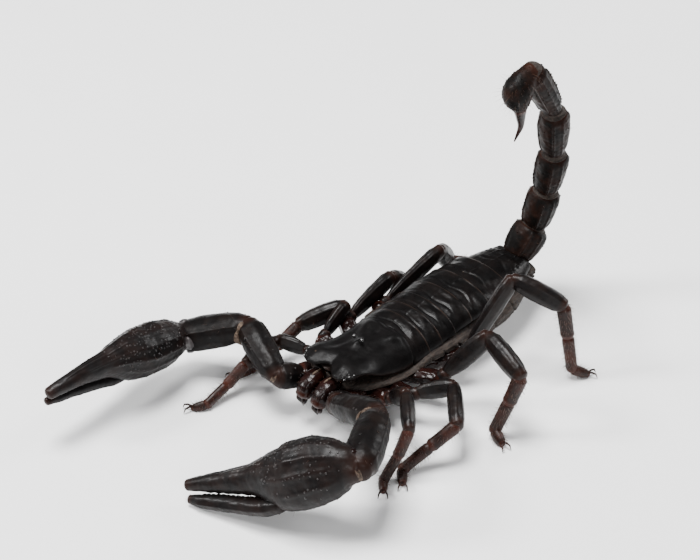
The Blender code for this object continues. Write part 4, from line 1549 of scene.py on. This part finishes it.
@dataclass
class Pedipalp:
    """One pincer limb: trochanter, femur, patella, and the claw with its two fingers."""

    shop: Workshop
    side: str
    root: Place
    pose: PincerPose
    halves: Knots = ((3.4, 3.4), (3.9, 3.7), (4.7, 4.4))
    arm: Knots = (
        (0, 0.66, 0.66), (0.12, 0.88, 0.86), (0.35, 1.02, 1.02),
        (0.7, 1.08, 1.06), (0.9, 1.0, 0.98), (1, 0.8, 0.8),
    )
    keels: tuple[Keel, ...] = (
        Keel(38, 0.22, 7), Keel(90, 0.12, 12), Keel(142, 0.22, 7), Keel(215, 0.18, 8), Keel(325, 0.18, 8),
    )
    joint_fill: Knots = ((0.7, 0.0), (0.99, 0.52), (0.72, 0.1))
    joint_reach: float = 0.9
    knob_reach: float = 0.22

    def build(self) -> None:
        """Makes the limb's segments, its claw, the skin in its joints, and the knobs of the wrist."""
        steps = [(length, heading(azimuth, elevation)) for length, azimuth, elevation in self.pose.steps]
        points, ways = joints_from(on_side(self.root, self.side), steps), [way for _, way in steps]
        for index, part in enumerate(("trochanter", "femur", "patella")):
            self.segment(index, f"pedipalp_{self.side}_{part}", points[index : index + 2])
        for half in (PALM, FINGER):
            self.claw(half, points[3], ways[3], steps[3][0])
        self.joint_skin(points, ways)
        self.condyles(points[3], ways[2], ways[3])

    def segment(self, index: int, name: str, ends: list[Array]) -> None:
        """One segment of the arm, with beads along its keels.

        Args:
            index: 0 to 2 from the body.
            name: the solid that it stands for.
            ends: its two joints.
        """
        wide, high = self.halves[index]
        shell = Shell()
        tube = Tube(
            self.arm, 0.95 * wide, 0.95 * high, self.keels, 2.15, wave=0.09, step=0.2, sides=84,
            cover=0.07, ridge_cover=12.0, seed=30 + index,
        )
        tube.grow(shell, ends, UP)
        host = self.shop.piece(f"{name}_shell", shell, "arm", "limb_shell", name)
        self.shop.granules(f"{name}_granules", host, Scatter(0.85, 0, 0.29, 0, 0, 5 + index), "bead")
        self.shop.bristles(f"{name}_bristles", host, Scatter(1.1, 1.5, 0.028, 0.5, 0.6, 8 + index))

    def claw(self, half: ClawHalf, wrist: Array, along: Array, length: float) -> None:
        """One half of the claw.

        Args:
            half: which one.
            wrist: where the claw starts.
            along: unit vector from the wrist to the finger tips.
            length: of the whole claw.
        """
        hang = np.array(self.pose.hang)
        movable = unit(hang - along * hang.dot(along))
        flat = np.cross(along, movable)
        shares = np.linspace(half.outline[0][0], half.outline[-1][0], half.rings)
        over, under, deep = profile(half.outline, shares, 0.025)
        even, late = self.pose.bow
        bow = even * 4 * shares * (1 - shares) + late * 6.75 * shares * shares * (1 - shares)
        slim = self.pose.slim + (1 - self.pose.slim) * half.filled * ramp(shares, 0.3, 0.25)
        over, under = over * slim, under * slim
        centre = wrist + along * (shares * length)[:, None] + movable * ((under - over) / 2 - bow)[:, None]
        tube = Tube(
            keels=half.keels, power=2.15, grain=0.02, grain_size=0.95, wave=0.09, sides=half.sides,
            cover=0.06, ridge_cover=14.0, seed=50, warm_ends=0.05,
        )
        shell = Shell()
        local = (shares - shares[0]) / (shares[-1] - shares[0])
        tube.add_rings(shell, local, centre, (over + under) / 2 * 0.985, deep * 0.972, -flat, length)
        shell.shades["cover"][0] = half.growth(*shell.place[0].T, shell.shades["cover"][0])
        name = f"pedipalp_{self.side}_{half.name}"
        host = self.shop.piece(f"{name}_shell", shell, "claw", "limb_shell", name)
        self.shop.granules(f"{name}_granules", host, Scatter(0.72, 0, 0.29, 0, 0, 15), "bead")
        self.shop.bristles(f"{name}_bristles", host, Scatter(2.2, 1.6, 0.028, 0.6, 0.5, 18))

    def joint_skin(self, points: list[Array], ways: list[Array]) -> None:
        """A ball of skin in each of the three joints, pushed to the inside of the bend.

        Args:
            points: the limb's joints.
            ways: unit vector of each segment.
        """
        skin = Shell()
        reach = self.joint_reach
        rows = zip(points[1:4], ways, ways[1:], self.halves, self.joint_fill)
        for joint, before, after, halves, (size, shift) in rows:
            half = size * min(halves)
            middle = joint + unit(after - before + 1e-3) * shift * half
            ball = Tube(BALL, half, half, (), 2.0, wave=0.1, step=0.25, warm_ends=0.0)
            ball.grow(skin, (middle - before * reach, middle, middle + after * reach), UP)
        self.shop.piece(f"pedipalp_{self.side}_joint_skin", skin, "joint", "membrane")

    def condyles(self, wrist: Array, before: Array, after: Array) -> None:
        """The wrist's hinge knobs: one on each side, and a larger one inside the bend.

        Args:
            wrist: the joint.
            before: unit vector of the patella.
            after: unit vector of the claw.
        """
        knobs = Shell()
        half = self.halves[2][1]
        hinge = unit(np.cross(before, after))
        inner = unit(after - before * after.dot(before) - UP * 0.25)
        for look, size, shift in ((hinge, 0.3, 0.3), (-hinge, 0.3, 0.3), (inner, 0.46, 0.78)):
            middle = wrist + look * 0.84 * half - before * shift * half
            wide, reach = size * half, self.knob_reach * half
            knob = Tube(BALL, wide, 0.8 * wide, (), 2.0, wave=0.03, step=0.12, sides=28, warm_ends=0.0)
            knob.grow(knobs, (middle - before * reach, middle + after * reach), look)
        # On the right pincer the knobs wear the grey condyle finish, which is a painted highlight.
        self.shop.piece(f"pedipalp_{self.side}_condyles", knobs, self.pose.condyle_finish, "membrane")


# ---- walking legs


@dataclass(frozen=True)
class LegPart:
    """A deep, flat-sided upper segment of a leg, with what grows on it."""

    name: str
    shape: Knots
    halves: tuple[float, float]
    keels: tuple[Keel, ...]
    cover: float
    seed: int
    bristles: Scatter


LEG_FEMUR = LegPart(
    "femur",
    ((0, 0.54, 0.5), (0.1, 0.58, 0.7), (0.3, 0.68, 0.94), (0.6, 0.86, 1), (0.86, 1, 0.92), (1, 0.9, 0.74)),
    (1.8, 2.85),
    (
        Keel(90, 0.1, 12), Keel(52, 0.2, 6), Keel(128, 0.2, 6), Keel(0, 0.1, 9), Keel(180, 0.1, 9),
        Keel(270, 0.2, 8),
    ),
    0.12, 60, Scatter(1.2, 1.0, 0.026, 0.25, 0.6, 21),
)
LEG_PATELLA = LegPart(
    "patella",
    ((0, 0.7, 0.56), (0.14, 0.92, 0.84), (0.4, 1, 1), (0.7, 1, 0.98), (0.9, 0.92, 0.88), (1, 0.84, 0.74)),
    (2.15, 3.0),
    (
        Keel(90, 0.1, 12), Keel(45, 0.2, 6), Keel(135, 0.2, 6), Keel(0, 0.1, 9), Keel(180, 0.1, 9),
        Keel(225, 0.16, 8), Keel(315, 0.16, 8),
    ),
    0.16, 70, Scatter(1.1, 1.1, 0.028, 0.3, 0.6, 22),
)


@dataclass
class WalkingLeg:
    """One walking leg: trochanter, femur, patella, tibia, basitarsus and tarsus with two claws.

    Each row of the claw's path is how far out, aside and up it is from the toe's end.
    """

    shop: Workshop
    side: str
    number: int
    hip: Place
    girth: float
    lengths: tuple[float, ...]
    ways: tuple[tuple[float, float], ...]
    foot_azimuth: float
    claw_reach: float = 2.7
    foot_drop: float = 0.69
    trochanter: Knots = ((0, 0.8, 0.8), (0.4, 1, 1), (1, 0.95, 0.95))
    lower_halves: Place = (1.85, 1.6, 1.45)
    lower_covers: Place = (0.35, 0.7, 1.0)
    lower: Knots = (
        (0, 0.72, 0.72), (0.12, 1, 1), (0.5, 0.95, 0.96), (0.85, 0.92, 0.94), (0.95, 1, 1), (1, 0.9, 0.9),
    )
    toe: Knots = ((0, 0.72, 0.72), (0.12, 1, 1), (0.5, 0.98, 0.98), (0.8, 0.86, 0.88), (1, 0.58, 0.6))
    claw: Knots = ((0, 1, 1), (0.6, 0.75, 0.75), (1, 0.3, 0.3))
    claw_path: Knots = ((-0.2, 0.0, 0.5), (1.0, 0.6, 0.95), (1.9, 1.05, 0.7), (2.3, 1.2, -0.35))

    @property
    def name(self) -> str:
        """What the names of the leg's solids start with."""
        return f"leg_{self.side}_{self.number}"

    def build(self) -> None:
        """Makes the leg's pieces, with the foot bent down to the floor."""
        steps = [(length, heading(*way)) for length, way in zip(self.lengths, self.ways)]
        points = joints_from(on_side(self.hip, self.side), steps)
        drop = points[-1][2] - self.foot_drop * self.girth
        slope = -math.degrees(math.asin(drop / self.lengths[4]))
        points.append(points[-1] + heading(self.foot_azimuth, slope) * self.lengths[4])
        way = unit(points[1] - points[0])
        half = LEG_FEMUR.halves[0] * self.girth
        thigh = Shell()
        keels = (Keel(90, 0.12, 14),)
        knob = Tube(self.trochanter, 0.92 * half, half, keels, wave=0.04, sides=44, step=0.15, warm_ends=0.3)
        knob.grow(thigh, (points[0] + way * 0.2, points[0] + way * 2.4), UP)
        self.upper_part(LEG_FEMUR, thigh, (points[0] + way * 2.0, points[1]))
        self.upper_part(LEG_PATELLA, Shell(), points[1:3])
        self.foot(points)
        self.joint_skin(points)

    def upper_part(self, part: LegPart, shell: Shell, ends: tuple[Array, ...] | list[Array]) -> None:
        """The femur or the patella.

        Args:
            part: which one.
            shell: where its points go.
            ends: its two joints.
        """
        wide, high = (size * self.girth for size in part.halves)
        tube = Tube(
            part.shape, 0.96 * wide, 0.96 * high, part.keels, 2.3, wave=0.07, step=0.2, sides=60,
            cover=part.cover, seed=part.seed + self.number,
        )
        tube.grow(shell, ends, UP)
        name = f"{self.name}_{part.name}"
        host = self.shop.piece(f"{name}_shell", shell, "limb", "limb_shell", name)
        self.shop.bristles(f"{name}_bristles", host, part.bristles)

    def foot(self, points: list[Array]) -> None:
        """Tibia, basitarsus and tarsus, with bristles and two hooked claws.

        Args:
            points: the leg's joints, with the foot's end last.
        """
        shell = Shell()
        keels = (Keel(90, 0.07, 14), Keel(270, 0.07, 14))
        for index, (size, cover) in enumerate(zip(self.lower_halves, self.lower_covers)):
            half = 0.96 * size * self.girth
            start, end = points[2 + index : 4 + index]
            toe = index == 2
            if toe:
                end = end - unit(end - start) * self.claw_reach
                end = end * (1, 1, 0) + (0, 0, 0.56 * half)
            tube = Tube(
                self.toe if toe else self.lower, half, 1.08 * half, keels, 2.0, grain=0.03, grain_size=0.5,
                wave=0.04, step=0.16, sides=44, cover=cover, seed=80 + index, warm_ends=0.12,
            )
            tube.grow(shell, (start, end), UP + (0.01, 0.02, 0))
        level = unit((points[5] - points[4]) * (1, 1, 0))
        aside = np.cross(level, UP)
        for turn in (-1, 1):
            spots = [end + level * out + aside * over * turn + (0, 0, up) for out, over, up in self.claw_path]
            claw = Tube(self.claw, 0.3, 0.32, wave=0.0, step=0.08, sides=20, end=RingEnd.POINT, warm_ends=0.0)
            claw.grow(shell, spots, UP + aside * 0.1)
        host = self.shop.piece(f"{self.name}_foot_shell", shell, "foot", "foot_shell", f"{self.name}_foot")
        self.shop.bristles(f"{self.name}_foot_bristles", host, Scatter(0.42, 1.3, 0.055, 0.35, 0.4, 23))

    def joint_skin(self, points: list[Array]) -> None:
        """A ball of skin in each of the four upper joints.

        Args:
            points: the leg's joints.
        """
        skin = Shell()
        ways = [unit(end - start) for start, end in zip(points, points[1:])]
        wide, high = LEG_FEMUR.halves
        for index, half in enumerate((wide, high * 0.75, *self.lower_halves[:2])):
            size = 0.62 * half * self.girth
            ball = Tube(BALL, size, size, wave=0.03, step=0.2, sides=32, warm_ends=0.0)
            start, end = points[index] - ways[max(index - 1, 0)] * 0.5, points[index] + ways[index] * 0.5
            ball.grow(skin, (start, points[index], end), UP + (0.01, 0, 0))
        self.shop.piece(f"{self.name}_joint_skin", skin, "joint", "membrane")


# ---- tail


@dataclass
class Metasoma:
    """The five tail segments, the venom bulb and the sting.

    Each row of the segments is a length, half width, half height, elevation and lean to the left. Each row
    of the telson is a length and an elevation.
    """

    shop: Workshop
    segments: Knots = (
        (10.8, 4.9, 4.6, 57, 8), (12.8, 4.4, 4.3, 86, 12), (14.3, 4.2, 4.1, 96, 12),
        (16.2, 3.9, 3.9, 105, 8), (20.4, 3.4, 3.2, 123, 2),
    )
    telson: Knots = ((6.8, 215), (6.2, 289), (5.6, 279), (4.0, 235))
    ring: Knots = (
        (0, 0.56, 0.56), (0.08, 0.76, 0.74), (0.22, 0.92, 0.9), (0.48, 1.04, 1.02),
        (0.74, 1.07, 1.05), (0.9, 1.02, 1.0), (0.97, 0.88, 0.88), (1, 0.7, 0.7),
    )
    upper_keels: tuple[Keel, ...] = (
        Keel(52, 0.36, 5), Keel(128, 0.36, 5), Keel(12, 0.26, 5), Keel(168, 0.26, 5),
    )
    lower_keels: tuple[Keel, ...] = (Keel(235, 0.26, 6), Keel(305, 0.26, 6))
    toothed_keels: tuple[Keel, ...] = (
        Keel(235, 0.55, 5, bead=1.3), Keel(305, 0.55, 5, bead=1.3), Keel(270, 0.55, 5, bead=1.3),
        Keel(345, 0.2, 6), Keel(195, 0.2, 6),
    )
    bulb_keels: tuple[Keel, ...] = tuple(Keel(angle, 0.2, 6) for angle in (250, 290, 210, 330))
    bulb: Knots = (
        (0, 2.3), (0.12, 2.75), (0.25, 3.3), (0.45, 3.72), (0.62, 3.72), (0.8, 3.05), (0.92, 2.2), (1, 1.7),
    )
    aculeus: Knots = ((0, 1.8), (0.15, 1.4), (0.4, 0.92), (0.7, 0.52), (1, 0.2))

    def build(self) -> None:
        """Makes the tail from its root to the sting."""
        steps = [(length, tail_heading(rise, lean)) for length, _, _, rise, lean in self.segments]
        points = joints_from(np.array(PLAN.tail_root), steps)
        for index, (_, wide, high, rise, _) in enumerate(self.segments):
            self.segment(index, points[index : index + 2], wide, high, tail_heading(rise + 90, 0))
        skin = Shell()
        for joint, (_, way), (_, _, high, _, _) in zip(points[1:], steps, self.segments):
            ball = Tube(BALL, 0.84 * high, 0.84 * high, wave=0.08, step=0.25, warm_ends=0.0)
            ball.grow(skin, (joint - way * 0.8, joint + way * 0.5), np.array((0.0, -1.0, 0.3)))
        self.shop.piece("tail_joint_skin", skin, "skin", "membrane")
        self.bulb_and_sting(points[-1])

    def segment(self, index: int, ends: list[Array], wide: float, high: float, dorsal: Array) -> None:
        """One tail segment with its keels, toothed below on the last one.

        Args:
            index: 0 to 4 from the body.
            ends: its two joints.
            wide: half width.
            high: half height.
            dorsal: the way its upper side looks.
        """
        last = index == len(self.segments) - 1
        keels = self.upper_keels + (self.toothed_keels if last else self.lower_keels)
        shell = Shell()
        body = Tube(
            self.ring, 0.96 * wide, 0.96 * high, keels, 2.3, wave=0.14, step=0.18, sides=110,
            cover=0.07, ridge_cover=12.0, seed=90 + index, warm_ends=0.05,
        )
        body.grow(shell, ends, dorsal)
        name = f"tail_{index + 1}"
        host = self.shop.piece(f"{name}_shell", shell, "tail", "limb_shell", name)
        self.shop.granules(f"{name}_granules", host, Scatter(0.85, 0, 0.27, 0, 0, 40 + index), "tail")
        self.shop.bristles(f"{name}_bristles", host, Scatter(1.1, 1.5, 0.028, 0.3, 0.5, 45 + index))

    def bulb_and_sting(self, root: Array) -> None:
        """The granular venom bulb with long bristles, and the smooth curved sting.

        Args:
            root: the joint behind the bulb.
        """
        points = joints_from(root, [(length, tail_heading(rise, 0)) for length, rise in self.telson])
        bulb = Tube(
            keels=self.bulb_keels, power=2.0, grain=0.05, grain_size=0.85, wave=0.12, sides=88,
            cover=0.8, seed=97, warm_ends=0.12,
        )
        shell = self.curved(bulb, points[:3], self.bulb, np.array((0.0, -0.4, 1.0)))
        host = self.shop.piece("venom_bulb_shell", shell, "tail", "limb_shell", "venom_bulb")
        self.shop.bristles("venom_bulb_bristles", host, Scatter(0.9, 3.0, 0.03, 0.8, 0.45, 60))
        self.shop.granules("venom_bulb_granules", host, Scatter(0.9, 0, 0.28, 0, 0, 61), "tail")
        sting = Tube(power=2.0, wave=0.01, sides=40, end=RingEnd.POINT, seed=97, warm_ends=0.12)
        shell = self.curved(sting, points[2:], self.aculeus, np.array((1.0, 0.0, 0.0)))
        self.shop.piece("sting_shell", shell, "sting", "foot_shell", "sting")

    @staticmethod
    def curved(tube: Tube, path: list[Array], radii: Knots, up_hint: Array) -> Shell:
        """A round tube whose centre line curves past three points.

        Args:
            tube: how it is drawn.
            path: the three points.
            radii: rows of (share of the length, radius).
            up_hint: the way its upper side looks.

        Returns:
            A shell with the tube in it.
        """
        shares = np.linspace(0, 1, 90)
        knots = tuple((at, *place) for at, place in zip((0.0, 0.5, 1.0), path))
        centre = np.stack(profile(knots, shares, 0.24), axis=-1)
        radius = profile(radii, shares, 0.06)[0]
        shell = Shell()
        tube.add_rings(shell, shares, centre, radius, radius, up_hint, 12.0)
        return shell


# ---- the studio


@dataclass(frozen=True)
class Panel:
    """A square soft light, in metres and watts."""

    name: str
    place: Place
    aim: Place
    size: float
    power: float

    def build(self) -> None:
        """Makes the light, turned to the point that it aims at."""
        light = bpy.data.lights.new(self.name, "AREA")
        light.size = self.size
        light.energy = self.power
        lamp = bpy.data.objects.new(self.name, light)
        lamp.location = self.place
        lamp.rotation_euler = (Vector(self.place) - Vector(self.aim)).to_track_quat("Z", "Y").to_euler()
        bpy.context.scene.collection.objects.link(lamp)


@dataclass
class Studio:
    """A pale floor, soft light from large panels, and the camera."""

    shop: Workshop
    panels: tuple[Panel, ...] = (
        Panel("key_panel", (-0.15, -0.1, 0.95), (0.0, 0.0, 0.0), 0.4, 20.0),
        Panel("front_panel", (0.75, -0.45, 0.5), (0.0, 0.0, 0.02), 0.22, 3.0),
        Panel("side_panel", (-0.55, -0.6, 0.62), (0.0, 0.0, 0.02), 0.22, 9.0),
        Panel("rear_panel", (0.2, 0.8, 0.5), (0.0, 0.0, 0.02), 0.3, 4.5),
    )
    camera_place: Place = (279.1867, -308.7984, 327.4136)
    camera_azimuth: float = -44.9503
    camera_elevation: float = 36.1414
    lens_length: float = 100.8142
    sensor_width: float = 36.0
    floor_half: float = 3.0

    def build(self) -> None:
        """Makes the floor, the lights and the camera."""
        self.floor()
        self.surround()
        for panel in self.panels:
            panel.build()
        self.camera()

    def floor(self) -> None:
        """A wide pale floor."""
        half = self.floor_half
        mesh = bpy.data.meshes.new("floor")
        corners = [(-half, -half, 0), (half, -half, 0), (half, half, 0), (-half, half, 0)]
        mesh.from_pydata(corners, [], [(0, 1, 2, 3)])
        mesh.materials.append(self.shop.finish["paper"])
        floor = bpy.data.objects.new("floor", mesh)
        bpy.context.scene.collection.objects.link(floor)
        floor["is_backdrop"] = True

    @staticmethod
    def surround() -> None:
        """An even pale surround."""
        world = bpy.data.worlds.new("studio_surround")
        world.use_nodes = True
        fill(world.node_tree.nodes["Background"], {"Color": linear("fbfcff"), "Strength": 0.22})
        bpy.context.scene.world = world

    def camera(self) -> None:
        """The camera, upright, from its place in the body's own axes and the way that it faces away from."""
        lens = bpy.data.cameras.new("camera")
        lens.sensor_width = self.sensor_width
        lens.lens = self.lens_length
        lens.clip_start, lens.clip_end = 0.01, 20.0
        camera = bpy.data.objects.new("camera", lens)
        back = heading(self.camera_azimuth, self.camera_elevation)
        right = heading(self.camera_azimuth + 90, 0)
        turn = Matrix((right, np.cross(back, right), back)).transposed().to_4x4()
        place = Vector((np.array(self.camera_place) + self.shop.origin) * MM)
        camera.matrix_world = Matrix.Translation(place) @ turn
        bpy.context.scene.collection.objects.link(camera)
        bpy.context.scene.camera = camera


# ---- the animal's pose

PINCERS = {
    "left": PincerPose(
        steps=((7.5, -70, 37), (17.5, -7, 23), (19.5, -59, -1), (47.6, -151, -21.5)),
        hang=(0.49, -0.34, -0.80), bow=(-0.8, 0.0), slim=1.0, condyle_finish="red",
    ),
    "right": PincerPose(
        # The right wrist's knobs wear grey chitin as a painted highlight.
        steps=((7.5, -104, 19), (17.5, 163, 16), (19.2, -148, -20), (45.8, -90, 6.2)),
        hang=(-0.30, -0.12, -0.95), bow=(0.0, 2.1), slim=0.78, condyle_finish="condyle",
    ),
}
LEG_GIRTHS = (0.88, 0.98, 1.05, 1.0)
# Femur with its trochanter, patella, tibia, basitarsus and tarsus of the first to the fourth leg.
LEG_LENGTHS = (
    (10.6, 12.0, 7.4, 7.8, 6.4), (12.2, 13.4, 8.1, 9.6, 7.4),
    (18.8, 14.4, 8.2, 10.0, 7.1), (24.2, 14.8, 9.4, 10.6, 7.4),
)
# Azimuth and elevation of the same segments, apart from the tarsus, whose elevation the floor gives.
LEG_POSES = {
    "left": (
        ((-10, 41), (-43, -7), (-102, -65), (-106, -57), -46),
        ((38, 19), (-44, -7), (-113, -33), (-113, -34), -44),
        ((41, 51), (-11, -16), (-130, -72), (-131, -70), -20),
        ((76, 54), (28, -22), (22, -79), (13, -79), 51),
    ),
    "right": (
        ((-163, 3), (-90, -6), (-97, -34), (-90, -18), -126),
        ((99, 24), (-122, -19), (-97, -27), (-103, -27), -105),
        ((93, 15), (104, -44), (75, -8), (45, -7), 20),
        ((90, 17), (118, -46), (60, -16), (20, -6), -20),
    ),
}


def main() -> None:
    """Builds the animal and the studio."""
    logging.basicConfig(level=logging.INFO, format="%(name)s %(message)s")
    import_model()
    shop = Workshop()
    head = Prosoma(shop)
    head.build()
    Mesosoma(shop).build()
    Metasoma(shop).build()
    for side, pose in PINCERS.items():
        Pedipalp(shop, side, head.pedipalp_root, pose).build()
    for side, poses in LEG_POSES.items():
        rows = zip(head.hips, LEG_GIRTHS, LEG_LENGTHS, poses)
        for number, (hip, girth, lengths, (*ways, azimuth)) in enumerate(rows, 1):
            WalkingLeg(shop, side, number, hip, girth, lengths, tuple(ways), azimuth).build()
    Studio(shop).build()
    LOG.info("whole model: %d triangles", shop.triangles)


if __name__ == "__main__":
    main()
